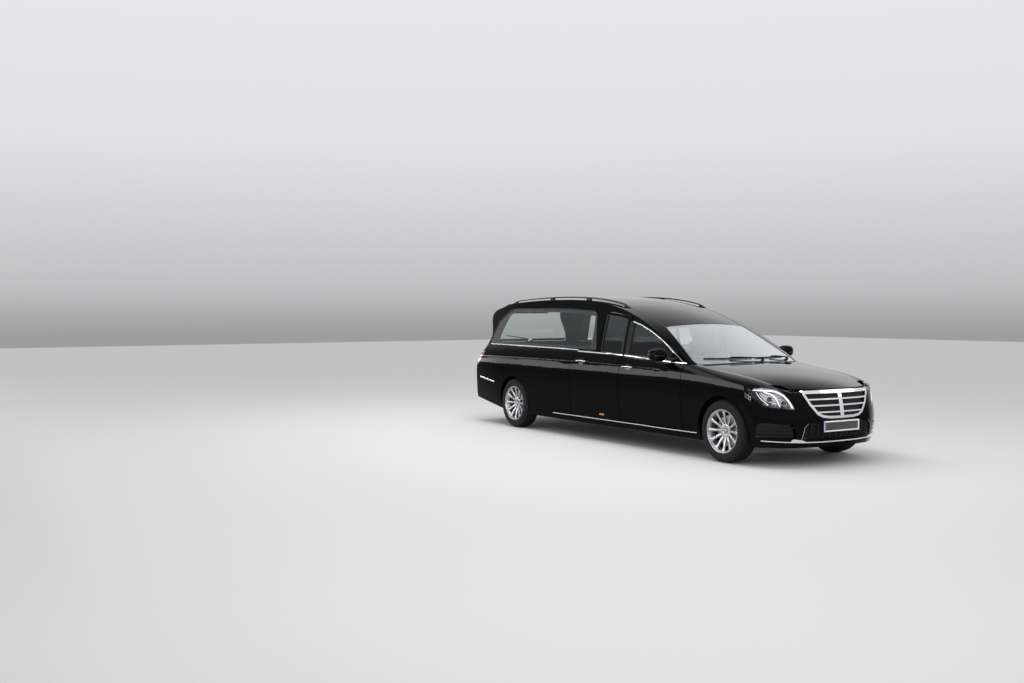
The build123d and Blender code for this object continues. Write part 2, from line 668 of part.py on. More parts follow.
def rim_at(axle, side):
    """One rim: the barrel under the tyre, and a disc of spokes at its outer edge."""
    centre = side * WHEEL_Y
    barrel = [(-106, 234), (-100, 236), (-98.2, 234), (-98.2, 218.8), (-70, 218.8), (-60, 205), (40, 205), (60, 218.8), (98.2, 218.8)]
    barrel += [(98.2, 234), (100, 236), (106, 234), (104, 212), (62, 212), (44, 198), (-62, 198), (-74, 211), (-102, 211)]
    disc = [(40, 201), (60, 213), (84, 213), (62, 150), (54, 60), (52, HUB_RADIUS + 0.05), (22, HUB_RADIUS + 0.05)]
    disc += [(24, 70), (36, 150)]
    with BuildPart() as rim:
        with BuildSketch(Plane.YZ.offset(forward(axle))):
            with BuildLine():
                Polyline(*[(centre + side * y, AXLE_Z + r) for y, r in disc], close=True)
            make_face()
        revolve(axis=wheel_axis(axle))
        with BuildSketch(Plane.XZ.offset(-centre - side * 110)):
            with Locations((forward(axle), AXLE_Z)):
                with PolarLocations(0, SPOKES):
                    with BuildLine():
                        Polyline((80, -9), (192, -31), (198, 0), (192, 31), (80, 9), close=True)
                    make_face()
        extrude(amount=side * 110, mode=Mode.SUBTRACT)
        with BuildSketch(Plane.YZ.offset(forward(axle))):
            with BuildLine():
                Polyline(*[(centre + side * y, AXLE_Z + r) for y, r in barrel], close=True)
            make_face()
        revolve(axis=wheel_axis(axle))
    return rim.part



# Running gear that carries the wheels
KINGPIN_Y = 730
KINGPIN_RADIUS = 12
SPINDLE_END = WHEEL_Y + 56
RUNNING_FIT = 0.05


def along_y(x, z, radius, near, far):
    """A round bar along Y between two places, x forward of the axle."""
    with BuildPart() as bar:
        with BuildSketch(Plane.XZ.offset(-max(near, far))):
            with Locations((forward(x), z)):
                Circle(radius)
        extrude(amount=abs(far - near))
    return bar.part


def along_x(y, z, radius, back, front):
    """A round bar along X between two places forward of the axle."""
    with BuildPart() as bar:
        with BuildSketch(Plane.YZ.offset(forward(back))):
            with Locations((y, z)):
                Circle(radius)
        extrude(amount=front - back)
    return bar.part


def upright(x, y, radius, bottom, top):
    """A round bar along Z, x forward of the axle."""
    with BuildPart() as bar:
        with Locations((forward(x), y, bottom)):
            Cylinder(radius, top - bottom, align=(Align.CENTER, Align.CENTER, Align.MIN))
    return bar.part


with BuildPart() as front_suspension:
    for side in (-1, 1):
        y = sorted((side * 440, side * (KINGPIN_Y + 20)))
        add(box_between((-40, y[0], 222), (40, y[1], 240)))
        add(upright(0, side * KINGPIN_Y, KINGPIN_RADIUS, 240, 432))
        add(upright(0, side * 600, 30, 240, AXLE_Z + 376))


def knuckle_at(side):
    """A steered knuckle on its king pin, with the spindle for the wheel."""
    y = sorted((side * (KINGPIN_Y - 24), side * (KINGPIN_Y + 24)))
    with BuildPart() as knuckle:
        add(box_between((-24, y[0], 241), (24, y[1], 430)))
        add(along_y(0, AXLE_Z, HUB_RADIUS, side * KINGPIN_Y, side * SPINDLE_END))
        add(along_y(0, AXLE_Z, HUB_RADIUS + 14, side * KINGPIN_Y, side * (WHEEL_Y + 21)))
        add(box_between((-120, min(side * 700, side * 740), 300), (-20, max(side * 700, side * 740), 316)))
        with Locations((forward(0), side * KINGPIN_Y, 241)):
            Cylinder(
                KINGPIN_RADIUS + RUNNING_FIT,
                200,
                align=(Align.CENTER, Align.CENTER, Align.MIN),
                mode=Mode.SUBTRACT,
            )
    return knuckle.part


with BuildPart() as rear_axle:
    add(along_y(REAR_AXLE, AXLE_Z, 38, -720, 720))
    add(along_y(REAR_AXLE, AXLE_Z, HUB_RADIUS + 14, -WHEEL_Y - 21, WHEEL_Y + 21))
    add(along_y(REAR_AXLE, AXLE_Z, HUB_RADIUS, -SPINDLE_END, SPINDLE_END))
    with Locations((forward(REAR_AXLE), 0, AXLE_Z)):
        Sphere(120)
    for side in (-1, 1):
        y = sorted((side * 500, side * 570))
        add(box_between((REAR_AXLE - 40, y[0], AXLE_Z), (REAR_AXLE + 40, y[1], AXLE_Z + 50)))
        add(upright(REAR_AXLE, side * 535, 48, AXLE_Z + 40, KICK_UP_Z))
    add(box_between((REAR_AXLE, -40, AXLE_Z - 30), (HEEL_X - 20, 40, AXLE_Z + 30)))
    add(box_between((HEEL_X - 60, -420, AXLE_Z - 30), (HEEL_X, 420, AXLE_Z + 30)))

PIPE_Y, PIPE_Z, PIPE_RADIUS = 260, 186, 29
with BuildPart() as exhaust:
    add(along_x(PIPE_Y, PIPE_Z, PIPE_RADIUS, -4700, -340))
    add(upright(-340, 225, PIPE_RADIUS, PIPE_Z - 20, 300))
    add(box_between((-5060, 150, 190), (-4640, 480, 330)))
    add(along_x(400, 260, 26, -5300, -5050))
    for x in (-900, -1900, -2500):
        add(box_between((x, PIPE_Y - 10, PIPE_Z), (x + 20, PIPE_Y + 10, FLOOR_Z)))
    add(box_between((-4860, 300, 320), (-4840, 320, KICK_UP_Z)))

# Cabin
A_POST, B_POST = (-700, -644), (-1845, -1755)
POST_INSET, POST_DEPTH = 7, 45
with BuildPart() as lower_posts:
    for back, front in (A_POST, B_POST):
        add(box_between((back, -REACH, FLOOR_TOP), (front, REACH, 1100)))
    add(body_tube(WALL + POST_INSET, TOP_THICKNESS, BODY_BOTTOM - 60), mode=Mode.INTERSECT)
    add(body_tube(WALL + POST_INSET + POST_DEPTH, TOP_THICKNESS, BODY_BOTTOM - 60), mode=Mode.SUBTRACT)
    add(box_between((FIREWALL_X - 50, -600, 900), (-600, 600, 1200)), mode=Mode.SUBTRACT)
    add(box_between((B_POST[0], -740, 900), (B_POST[1], 740, 1200)), mode=Mode.SUBTRACT)

with BuildPart() as upper_posts:
    add(box_between((B_POST[0] + 8, -REACH, 1020), (B_POST[1] - 8, REACH, 1900)))
    add(glasshouse_tube(FRAME + POST_INSET), mode=Mode.INTERSECT)
    add(glasshouse_tube(FRAME + POST_INSET + 35), mode=Mode.SUBTRACT)
    add(roof_tube(TOP_THICKNESS), mode=Mode.INTERSECT)

HINGE_Z, HINGE_SEAT = (420, 820), 0.6
with BuildPart() as door_hinges:
    for side in (-1, 1):
        y = sorted((side * 800, side * HALF_WIDTH))
        for back, front in ((-695, FRONT_DOOR_X - 4), (-1838, REAR_DOOR_X - 4)):
            for z in HINGE_Z:
                add(box_between((back, y[0], z), (front, y[1], z + 40)))
    add(body_tube(WALL + HINGE_SEAT, TOP_THICKNESS, BODY_BOTTOM - 60), mode=Mode.INTERSECT)

with BuildPart() as door_posts:
    add(lower_posts.part)
    add(upper_posts.part)
    add(door_hinges.part)

DASH = [
    (-540, 962),
    (-700, 992),
    (-920, 985),
    (-975, 900),
    (-950, 800),
    (-880, 620),
    (FIREWALL_X - 10, 620),
    (FIREWALL_X - 10, 942),
    (-690, 942),
    (-540, 942),
]
COLUMN_Y = -370
COLUMN_TOP = (-1080, 905)
COLUMN_TILT = 24
DASH_HALF = 680
with BuildPart() as dashboard:
    with BuildSketch(Plane.XZ.offset(-DASH_HALF)):
        with BuildLine():
            Polyline(*[(forward(x), z) for x, z in DASH], close=True)
        make_face()
    extrude(amount=2 * DASH_HALF)
    add(roof_tube(TOP_THICKNESS + 4), mode=Mode.INTERSECT)

COLUMN_PLANE = Plane(
    origin=(forward(COLUMN_TOP[0]), COLUMN_Y, COLUMN_TOP[1]),
    x_dir=(0, 1, 0),
    z_dir=Vector(-1, 0, 0).rotate(Axis.Y, COLUMN_TILT),
)
with BuildPart() as steering_wheel:
    with BuildSketch(Plane(origin=COLUMN_PLANE.origin, x_dir=COLUMN_PLANE.x_dir, z_dir=COLUMN_PLANE.y_dir)):
        with Locations((182, 0)):
            Circle(15)
    revolve(axis=Axis(COLUMN_PLANE.origin, COLUMN_PLANE.z_dir))
    with BuildSketch(COLUMN_PLANE.offset(-16)):
        Circle(62)
        Rectangle(364, 34)
        with Locations((0, -90)):
            Rectangle(34, 180)
    extrude(amount=20)
    with BuildSketch(COLUMN_PLANE.offset(-170)):
        Circle(20)
    extrude(amount=160)

with BuildPart() as column_bore:
    with BuildSketch(COLUMN_PLANE.offset(-172)):
        Circle(20 + RUNNING_FIT)
    extrude(amount=200)

with BuildPart() as dash_with_bore:
    add(dashboard.part)
    add(column_bore.part, mode=Mode.SUBTRACT)

FRONT_SEAT_Y = 370
with BuildPart() as front_seats:
    for side in (-1, 1):
        with BuildSketch(Plane.XZ.offset(-side * FRONT_SEAT_Y - 255)):
            with BuildLine():
                Polyline(
                    *[(forward(x), z) for x, z in [
                        (-1180, 440), (-1200, FLOOR_TOP + 60), (-1600, FLOOR_TOP + 60), (-1740, 470), (-1880, 1060),
                        (-1790, 1080), (-1640, 500),
                    ]],
                    close=True,
                )
            make_face()
        extrude(amount=510)
        add(box_between((-1640, side * FRONT_SEAT_Y - 200, FLOOR_TOP), (-1240, side * FRONT_SEAT_Y + 200, FLOOR_TOP + 62)))
        add(box_between((-1900, side * FRONT_SEAT_Y - 130, 1050), (-1810, side * FRONT_SEAT_Y + 130, 1230)))

with BuildPart() as rear_seat:
    with BuildSketch(Plane.XZ.offset(-640)):
        with BuildLine():
            Polyline(
                *[(forward(x), z) for x, z in [
                    (-1930, 440), (-1950, FLOOR_TOP), (-2440, FLOOR_TOP), (-2560, 1040), (-2470, 1060), (-2380, 480),
                ]],
                close=True,
            )
        make_face()
    extrude(amount=1280)

# Outside fittings
RAIL_BACK, RAIL_FRONT, RAIL_WIDTH, RAIL_HEIGHT = -4640, -1950, 30, 30
RAIL_TAPERS = [
    [(-4700, 1695), (-4640, 1714), (-4480, 1758), (-4480, 1900), (-4700, 1900)],
    [(-1900, 1618), (-1950, 1641), (-2090, 1702), (-2090, 1900), (-1900, 1900)],
]
with BuildPart() as rail_daylight:
    for back, front in ((-4560, -3700), (-3620, -2860), (-2780, -2060)):
        add(box_between((back, -REACH, 1400), (front, REACH, 2000)))
    add(roof_tube(-16), mode=Mode.INTERSECT)

with BuildPart() as roof_rails:
    for side in (-1, 1):
        y = sorted((side * 585, side * (585 + RAIL_WIDTH)))
        add(box_between((RAIL_BACK, y[0], 1400), (RAIL_FRONT, y[1], 2000)))
    add(roof_tube(-RAIL_HEIGHT), mode=Mode.INTERSECT)
    add(ROOF_OUTER, mode=Mode.SUBTRACT)
    add(rail_daylight.part, mode=Mode.SUBTRACT)
    for outline in RAIL_TAPERS:
        add(side_block(outline, -REACH, REACH), mode=Mode.SUBTRACT)

with BuildPart() as grille_spaces:
    add(end_block(GRILLE, 500, 900, -GRILLE_RIM[1]))
    add(box_between((500, 0, 400), (900, 500, GRILLE[-1][1] - GRILLE_RIM[0])), mode=Mode.INTERSECT)
    for z in SLAT_Z:
        add(box_between((500, 0, z - SLAT_HEIGHT / 2), (900, 500, z + SLAT_HEIGHT / 2)), mode=Mode.SUBTRACT)
    add(box_between((500, 0, 400), (900, CENTRE_BAR / 2, 900)), mode=Mode.SUBTRACT)

with BuildPart() as grille_half:
    add(end_block(GRILLE, 500, 900))
    add(end_tube(-8), mode=Mode.INTERSECT)
    add(end_tube(26), mode=Mode.SUBTRACT)
    add(grille_spaces.part, mode=Mode.SUBTRACT)

with BuildPart() as grille_mesh_half:
    add(end_block(GRILLE, 500, 900))
    add(end_tube(26), mode=Mode.INTERSECT)
    add(end_tube(32), mode=Mode.SUBTRACT)


def mirror_at(side):
    """A door mirror: housing on its foot."""
    with BuildPart() as door_mirror:
        with Locations((forward(-930), side * 1000, 1108)):
            Box(126, 214, 144)
        fillet(door_mirror.edges(), radius=46)
        add(box_between((-930, min(side * 790, side * 940), 1062), (-850, max(side * 790, side * 940), 1084)))
        add(HOUSE_OUTER, mode=Mode.SUBTRACT)
        add(LOWER_OUTER, mode=Mode.SUBTRACT)
    return door_mirror.part


def right_of(solid):
    """The same piece on the other side of the car."""
    with BuildPart() as other:
        mirror(solid, about=Plane.XZ)
    return other.part


def whole(solid):
    """A piece that crosses the middle, from its left half."""
    with BuildPart() as both:
        add(solid)
        mirror(solid, about=Plane.XZ)
    return both.part


WHEELS = (("front_left", 0, 1), ("front_right", 0, -1), ("rear_left", REAR_AXLE, 1), ("rear_right", REAR_AXLE, -1))
PIECES = {
    "body_side_left": body_side.part,
    "body_side_right": right_of(body_side.part),
    "front_wing_left": wing_with_gutter.part,
    "front_wing_right": right_of(wing_with_gutter.part),
    "front_bumper": whole(bumper_half.part),
    "rear_bumper": whole(rear_bumper_half.part),
    "roof": whole(roof_with_hinge.part),
    "bonnet": whole(bonnet_half.part),
    "tailgate": whole(tailgate_half.part),
    "scuttle_panel": whole(scuttle_half.part),
    "windscreen": whole(half_screen.part),
    "front_door_left": front_door.part,
    "front_door_right": right_of(front_door.part),
    "rear_door_left": rear_door.part,
    "rear_door_right": right_of(rear_door.part),
    "front_window_left": front_glass.part,
    "front_window_right": right_of(front_glass.part),
    "rear_window_left": rear_glass.part,
    "rear_window_right": right_of(rear_glass.part),
    "side_window_left": hearse_glass.part,
    "side_window_right": right_of(hearse_glass.part),
    "mirror_left": mirror_at(1),
    "mirror_right": mirror_at(-1),
    "roof_rails": roof_rails.part,
    "grille": whole(grille_half.part),
    "grille_mesh": whole(grille_mesh_half.part),
    "floor_pan": floor_pan.part,
    "door_posts": door_posts.part,
    "bier_deck": bier_deck.part,
    "partition": partition.part,
    "engine_block": engine_block.part,
    "front_subframe": front_subframe.part,
    "front_suspension": front_suspension.part,
    "rear_axle": rear_axle.part,
    "exhaust": exhaust.part,
    "wheel_liners": wheel_liners.part,
    "dashboard": dash_with_bore.part,
    "steering_wheel": steering_wheel.part,
    "front_seats": front_seats.part,
    "rear_seat": rear_seat.part,
    "knuckle_left": knuckle_at(1),
    "knuckle_right": knuckle_at(-1),
}
with BuildPart() as headlamps:
    add(headlamp.part)
    mirror(headlamp.part, about=Plane.XZ)
with BuildPart() as tail_lamps:
    add(tail_lamp.part)
    mirror(tail_lamp.part, about=Plane.XZ)
PIECES["headlamps"] = headlamps.part
PIECES["tail_lamps"] = tail_lamps.part
with BuildPart() as tailgate_glass:
    add(end_tube(GLASS_DEPTH))
    add(end_tube(GLASS_DEPTH + GLASS_THICKNESS), mode=Mode.SUBTRACT)
    add(whole(end_block(TAILGATE_WINDOW, TAIL - 20, TAILGATE_FRONT + 50, corner=20)), mode=Mode.INTERSECT)
PIECES["tailgate_window"] = tailgate_glass.part
for name, axle, side in WHEELS:
    PIECES["tyre_" + name] = tyre_at(axle, side)
    PIECES["rim_" + name] = rim_at(axle, side)

for name, piece in PIECES.items():
    piece.label = name
    export_step(piece, f"parts/{name}.step")
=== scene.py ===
# A gloss-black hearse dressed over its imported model: paint, glass, bright trim, lamps, wheels, cabin and deck.
import json
import math

import bmesh
import bpy
from mathutils import Matrix, Vector
from mathutils.bvhtree import BVHTree
from mathutils.geometry import delaunay_2d_cdt


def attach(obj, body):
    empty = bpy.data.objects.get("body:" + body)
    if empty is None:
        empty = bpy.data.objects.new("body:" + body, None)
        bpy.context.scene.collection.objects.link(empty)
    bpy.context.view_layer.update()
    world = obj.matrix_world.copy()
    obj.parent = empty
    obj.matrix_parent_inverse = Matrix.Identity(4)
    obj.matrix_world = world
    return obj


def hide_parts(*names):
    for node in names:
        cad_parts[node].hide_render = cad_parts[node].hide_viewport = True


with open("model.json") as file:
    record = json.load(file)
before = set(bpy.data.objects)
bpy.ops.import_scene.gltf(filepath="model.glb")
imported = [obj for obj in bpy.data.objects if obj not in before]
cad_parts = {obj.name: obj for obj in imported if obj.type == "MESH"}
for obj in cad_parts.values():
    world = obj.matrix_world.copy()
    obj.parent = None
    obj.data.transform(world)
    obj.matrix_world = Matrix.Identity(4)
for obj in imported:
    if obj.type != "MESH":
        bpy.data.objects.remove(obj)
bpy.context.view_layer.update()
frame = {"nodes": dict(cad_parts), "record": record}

# The outlines below are measured back from the front axle
FRONT_AXLE = 2.264
WHEELBASE = 4.18
BODY = "body"
SLOTS = {material["slot"] for material in frame["record"]["materials"]}


class Value:
    """A number that varies over a surface, so that sums in a finish read as sums."""

    def __init__(self, tree, socket):
        self.tree, self.socket = tree, socket

    def sum(self, operation, *others, clamp=False):
        node = self.tree.nodes.new("ShaderNodeMath")
        node.operation, node.use_clamp = operation, clamp
        for slot, term in zip(node.inputs, [self, *others]):
            if isinstance(term, Value):
                self.tree.links.new(term.socket, slot)
            else:
                slot.default_value = term
        return Value(self.tree, node.outputs[0])

    def __add__(self, other):
        return self.sum("ADD", other)

    def __sub__(self, other):
        return self.sum("SUBTRACT", other)

    def __mul__(self, other):
        return self.sum("MULTIPLY", other)

    def __truediv__(self, other):
        return self.sum("DIVIDE", other)

    def __pow__(self, other):
        return self.sum("POWER", other)

    __radd__, __rmul__ = __add__, __mul__

    def clamp(self):
        return self.sum("ADD", 0.0, clamp=True)


class Finish:
    """One material, with its Principled shader and the nodes that vary it."""

    def __init__(self, name, color, rough, **sockets):
        self.material = bpy.data.materials.new(name)
        self.material.use_nodes = True
        self.tree = self.material.node_tree
        self.shader = self.tree.nodes["Principled BSDF"]
        self.set("Base Color", (*color, 1.0))
        self.set("Roughness", rough)
        for key, value in sockets.items():
            self.set(key.replace("_", " "), value)

    def fill(self, slot, value):
        if isinstance(value, Value):
            self.tree.links.new(value.socket, slot)
        else:
            slot.default_value = value

    def set(self, socket, value):
        self.fill(self.shader.inputs[socket], value)

    def node(self, kind, settings=None, out=0, **links):
        """Any node by its type, its settings, and the values or links of its sockets."""
        node = self.tree.nodes.new(kind)
        for key, value in (settings or {}).items():
            setattr(node, key, value)
        for key, value in links.items():
            self.fill(node.inputs[int(key[1:]) if key[1:].isdigit() else key], value)
        return Value(self.tree, node.outputs[out])

    def place(self):
        return self.node("ShaderNodeTexCoord", out=3)

    def scaled(self, stretch):
        return self.node("ShaderNodeVectorMath", {"operation": "MULTIPLY"}, i0=self.place(), i1=stretch)

    def noise(self, scale, detail=3.0, rough=0.55, stretch=(1, 1, 1)):
        return self.node("ShaderNodeTexNoise", Vector=self.scaled(stretch), Scale=scale, Detail=detail,
                         Roughness=rough)

    def cells(self, scale, feature="F1"):
        return self.node("ShaderNodeTexVoronoi", {"feature": feature}, Vector=self.scaled((1, 1, 1)), Scale=scale)

    def bands(self, direction, scale):
        return self.node("ShaderNodeTexWave", {"bands_direction": direction}, Vector=self.place(), Scale=scale)

    def blend(self, amount, first, second):
        return self.node("ShaderNodeMix", {"data_type": "RGBA"}, out=2, i0=amount, i6=(*first, 1.0),
                         i7=(*second, 1.0))

    def bump(self, height, depth, strength=1.0):
        self.set("Normal", self.node("ShaderNodeBump", Height=height, Distance=depth, Strength=strength))
        return self


def shade(color, share, lift=0.0):
    return [c * share + lift for c in color]


def black_paint(name):
    """Black paint under a clear coat that shines the more, the flatter it is looked at."""
    paint = Finish(name, (0.002, 0.002, 0.003), 0.03, IOR=1.02, Specular_IOR_Level=0.0, Coat_IOR=2.1,
                   Coat_Roughness=0.015)
    dust = paint.noise(3.0, 5.0) * 0.6 + paint.noise(60.0, 2.0) * 0.4
    facing = paint.node("ShaderNodeLayerWeight", out=1, Blend=0.5)
    paint.set("Coat Weight", 0.05 + ((facing - 0.50) / 0.29).clamp() ** 1.5 * 0.95)
    paint.set("Roughness", 0.03 + dust * 0.05)
    paint.set("Base Color", paint.blend(dust ** 3.0 * 0.7, (0.0015, 0.0015, 0.002), (0.005, 0.005, 0.006)))
    return paint.bump(paint.noise(1.6, 1.0), 0.0004)


def bright_chrome(name):
    chrome = Finish(name, (0.82, 0.83, 0.85), 0.07, Metallic=1.0)
    smudge = chrome.noise(24.0, 4.0)
    chrome.set("Roughness", 0.05 + smudge * 0.1)
    chrome.set("Base Color", chrome.blend(smudge, (0.88, 0.89, 0.91), (0.76, 0.77, 0.79)))
    return chrome


def plastic(name, color, rough, grain=900.0, depth=0.00012, shine=0.5):
    """Grained plastic or rubber, or paint rough enough to show its grain."""
    skin = Finish(name, color, rough, Specular_IOR_Level=shine)
    worn = skin.noise(9.0, 4.0)
    skin.set("Roughness", rough - 0.08 + worn * 0.16)
    skin.set("Base Color", skin.blend(worn, color, shade(color, 1.5, 0.004)))
    return skin.bump(skin.cells(grain), depth)


def glass(name, clear, tint=(1.0, 1.0, 1.0), shine_level=1.0, rise=5.0):
    """Thin glass: mostly seen through, with a reflection that grows at a glancing view."""
    pane = Finish(name, tint, 0.0)
    nodes, link = pane.tree.nodes, pane.tree.links.new
    seen = nodes.new("ShaderNodeBsdfTransparent")
    seen.inputs["Color"].default_value = (*shade(tint, clear), 1.0)
    shine = nodes.new("ShaderNodeBsdfGlossy")
    shine.inputs["Roughness"].default_value = 0.0
    shine.inputs["Color"].default_value = (0.95, 0.97, 1.0, 1.0)
    facing = pane.node("ShaderNodeLayerWeight", out=1, Blend=0.5)
    specks = pane.noise(35.0, 3.0)
    mix = nodes.new("ShaderNodeMixShader")
    share = (facing ** rise * 0.9 * shine_level + specks * 0.008 + 0.012 * shine_level).clamp()
    for source, slot in zip((share.socket, seen.outputs[0], shine.outputs[0]), mix.inputs):
        link(source, slot)
    link(mix.outputs[0], nodes["Material Output"].inputs["Surface"])
    nodes.remove(pane.shader)
    return pane


def lens(name, color, glow=None, ribs=0.0):
    """A moulded lamp lens, coloured through, with fine upright ribs where it has them."""
    pane = Finish(name, color, 0.08, Coat_Weight=1.0, Coat_Roughness=0.03)
    pane.set("Roughness", 0.08 + pane.noise(30.0) * 0.08)
    streaks = pane.bands("Y", 40.0) if ribs else pane.noise(25.0)
    pane.set("Base Color", pane.blend(streaks * 0.6, color, shade(color, 0.45)))
    if glow:
        pane.set("Emission Strength", glow)
        pane.set("Emission Color", pane.blend(streaks * 0.3, color, shade(color, 0.8)))
    return pane.bump(streaks, ribs) if ribs else pane


def metal(name, color, rough):
    """Cast or rolled metal, faintly cloudy."""
    cast = Finish(name, color, rough, Metallic=1.0)
    cloud = cast.noise(40.0, 4.0)
    cast.set("Roughness", rough - 0.05 + cloud * 0.12)
    cast.set("Base Color", cast.blend(cloud, color, shade(color, 0.85)))
    return cast.bump(cast.noise(700.0, 2.0), 0.00006)


def turned_iron(name):
    iron = Finish(name, (0.30, 0.29, 0.28), 0.35, Metallic=1.0)
    rust = iron.noise(30.0, 5.0)
    iron.set("Base Color", iron.blend((rust * 2.0 - 0.6).clamp(), (0.34, 0.33, 0.32), (0.16, 0.09, 0.06)))
    iron.set("Roughness", 0.3 + rust * 0.35)
    return iron.bump(iron.noise(300.0, 2.0, stretch=(0.2, 1, 0.2)), 0.0001)


def leather(name, color, rough=0.46):
    hide = Finish(name, color, rough)
    crease = hide.cells(420.0, "DISTANCE_TO_EDGE")
    wear = hide.noise(12.0, 4.0)
    hide.set("Base Color", hide.blend(wear, color, shade(color, 1.7, 0.004)))
    hide.set("Roughness", rough - 0.08 + wear * 0.2)
    return hide.bump((crease * 8.0).clamp(), 0.0004)


def woven_cloth(name, color):
    cloth = Finish(name, color, 0.9, Sheen_Weight=0.3)
    weave = cloth.bands("Y", 160.0) * 0.5 + cloth.bands("X", 160.0) * 0.5
    cloth.set("Base Color", cloth.blend(weave, shade(color, 0.6), color))
    cloth.set("Roughness", 0.85 + cloth.noise(20.0) * 0.1)
    return cloth.bump(weave, 0.0005)


def pile_carpet(name, color):
    carpet = Finish(name, color, 0.95, Sheen_Weight=0.4)
    tuft = carpet.cells(260.0)
    carpet.set("Base Color", carpet.blend(tuft, color, shade(color, 0.5)))
    carpet.set("Roughness", 0.9 + carpet.noise(8.0) * 0.08)
    return carpet.bump(tuft, 0.002)


def veneer(name, light, dark, gloss=0.5):
    wood = Finish(name, light, 0.3, Coat_Roughness=0.08)
    grain = wood.noise(6.0, 6.0, 0.65, stretch=(0.5, 9.0, 9.0))
    fine = wood.noise(50.0, 4.0, 0.6, stretch=(0.25, 9.0, 9.0))
    wood.set("Base Color", wood.blend((grain * 1.5 - 0.3).clamp(), dark, light))
    wood.set("Roughness", 0.26 + fine * 0.2)
    wood.set("Coat Weight", gloss + fine * 0.2)
    return wood.bump(fine, 0.0002)


def tyre_rubber(name):
    rubber = Finish(name, (0.005, 0.005, 0.0055), 0.75, Specular_IOR_Level=0.25)
    grime = rubber.noise(14.0, 5.0)
    rubber.set("Base Color", rubber.blend(grime, (0.004, 0.004, 0.0045), (0.011, 0.0108, 0.0105)))
    rubber.set("Roughness", 0.62 + grime * 0.25)
    return rubber.bump(rubber.noise(500.0, 2.0), 0.0002)


def reflector(name, level):
    """The bright facetted metal behind a clear lens."""
    bowl = Finish(name, (level, level, level), 0.18, Metallic=1.0)
    facets = bowl.cells(60.0)
    bowl.set("Roughness", 0.1 + facets * 0.2)
    bowl.set("Base Color", bowl.blend(facets, shade((1.0, 1.01, 1.04), level), [level * 0.55] * 3))
    return bowl.bump(facets, 0.002)


FINISHES = {name: maker(name, *values) for maker, name, *values in (
    (black_paint, "black_paint"),
    (bright_chrome, "bright_chrome"),
    (plastic, "black_plastic", (0.005, 0.005, 0.0055), 0.5, 900.0, 0.00012, 0.22),
    (plastic, "gloss_black", (0.004, 0.004, 0.0045), 0.16, 60.0, 0.00001, 0.25),
    (plastic, "rubber_seal", (0.008, 0.008, 0.008), 0.65, 400.0, 0.00005),
    (plastic, "shell_paint", (0.010, 0.010, 0.011), 0.4, 300.0, 0.0001),
    (plastic, "chassis_paint", (0.02, 0.02, 0.021), 0.5, 200.0, 0.0003),
    (plastic, "plate_edge", (0.72, 0.74, 0.74), 0.3, 200.0, 0.00005),
    (plastic, "plate_face", (0.035, 0.036, 0.036), 0.35, 200.0, 0.00005),
    (plastic, "plate_band", (0.01, 0.06, 0.32), 0.3, 200.0, 0.00005),
    (glass, "window_glass", 0.975, (0.97, 1.0, 0.985)),
    (glass, "screen_sheet", 0.92, (0.97, 1.0, 0.99), 1.35, 2.0),
    # The dark door glass is partly tint and partly painted shade: it darkens the view into the cabin as the cabin's own
    # shade would
    (glass, "dark_glass", 0.36, (0.92, 0.96, 0.97)),
    (glass, "lamp_glass", 0.98, (1.0, 1.0, 1.0), 0.8),
    (lens, "red_lamp", (0.30, 0.004, 0.006), 0.1, 0.002),
    (lens, "deep_red_lamp", (0.16, 0.002, 0.003)),
    (lens, "amber_lamp", (0.75, 0.16, 0.01), 0.2),
    (lens, "white_lamp", (0.92, 0.94, 1.0), 0.75),
    (lens, "white_lens", (0.75, 0.77, 0.8), None, 0.001),
    (lens, "lit_red", (0.75, 0.02, 0.02), 0.7),
    (lens, "screen_glass", (0.006, 0.007, 0.01)),
    (reflector, "lamp_reflector", 0.85),
    (reflector, "lamp_housing", 0.42),
    (metal, "alloy", (0.44, 0.45, 0.465), 0.26),
    (metal, "dark_cap", (0.30, 0.31, 0.33), 0.3),
    (metal, "dark_steel", (0.16, 0.16, 0.17), 0.4),
    (metal, "cast_metal", (0.28, 0.27, 0.26), 0.55),
    (metal, "exhaust_steel", (0.42, 0.38, 0.33), 0.38),
    (metal, "deck_steel", (0.78, 0.79, 0.8), 0.2),
    (metal, "mirror_glass", (0.86, 0.88, 0.9), 0.06),
    (turned_iron, "brake_iron"),
    (tyre_rubber, "tyre_rubber"),
    (veneer, "deck_wood", (0.20, 0.09, 0.04), (0.07, 0.028, 0.012)),
    (veneer, "dash_veneer", (0.12, 0.055, 0.03), (0.03, 0.012, 0.008), 0.8),
    (woven_cloth, "trim_panel", (0.07, 0.07, 0.075)),
    (woven_cloth, "roof_lining", (0.22, 0.21, 0.2)),
    (pile_carpet, "floor_carpet", (0.018, 0.018, 0.02)),
    (leather, "seat_leather", (0.020, 0.020, 0.022)),
    (leather, "dash_skin", (0.014, 0.014, 0.015), 0.6),
    (leather, "wheel_leather", (0.013, 0.013, 0.014)),
)}
FINISHES |= {"tyre": FINISHES.pop("tyre_rubber"), "chrome": FINISHES.pop("bright_chrome")}
# The door windows take the dark glass, whose darkness is partly tint and partly painted shade of the cabin behind it
DOOR_GLASS = ("front_window_left", "front_window_right", "rear_window_left", "rear_window_right")
GLASS_OF = dict.fromkeys(DOOR_GLASS, "dark_glass") | {"windscreen": "screen_sheet"}
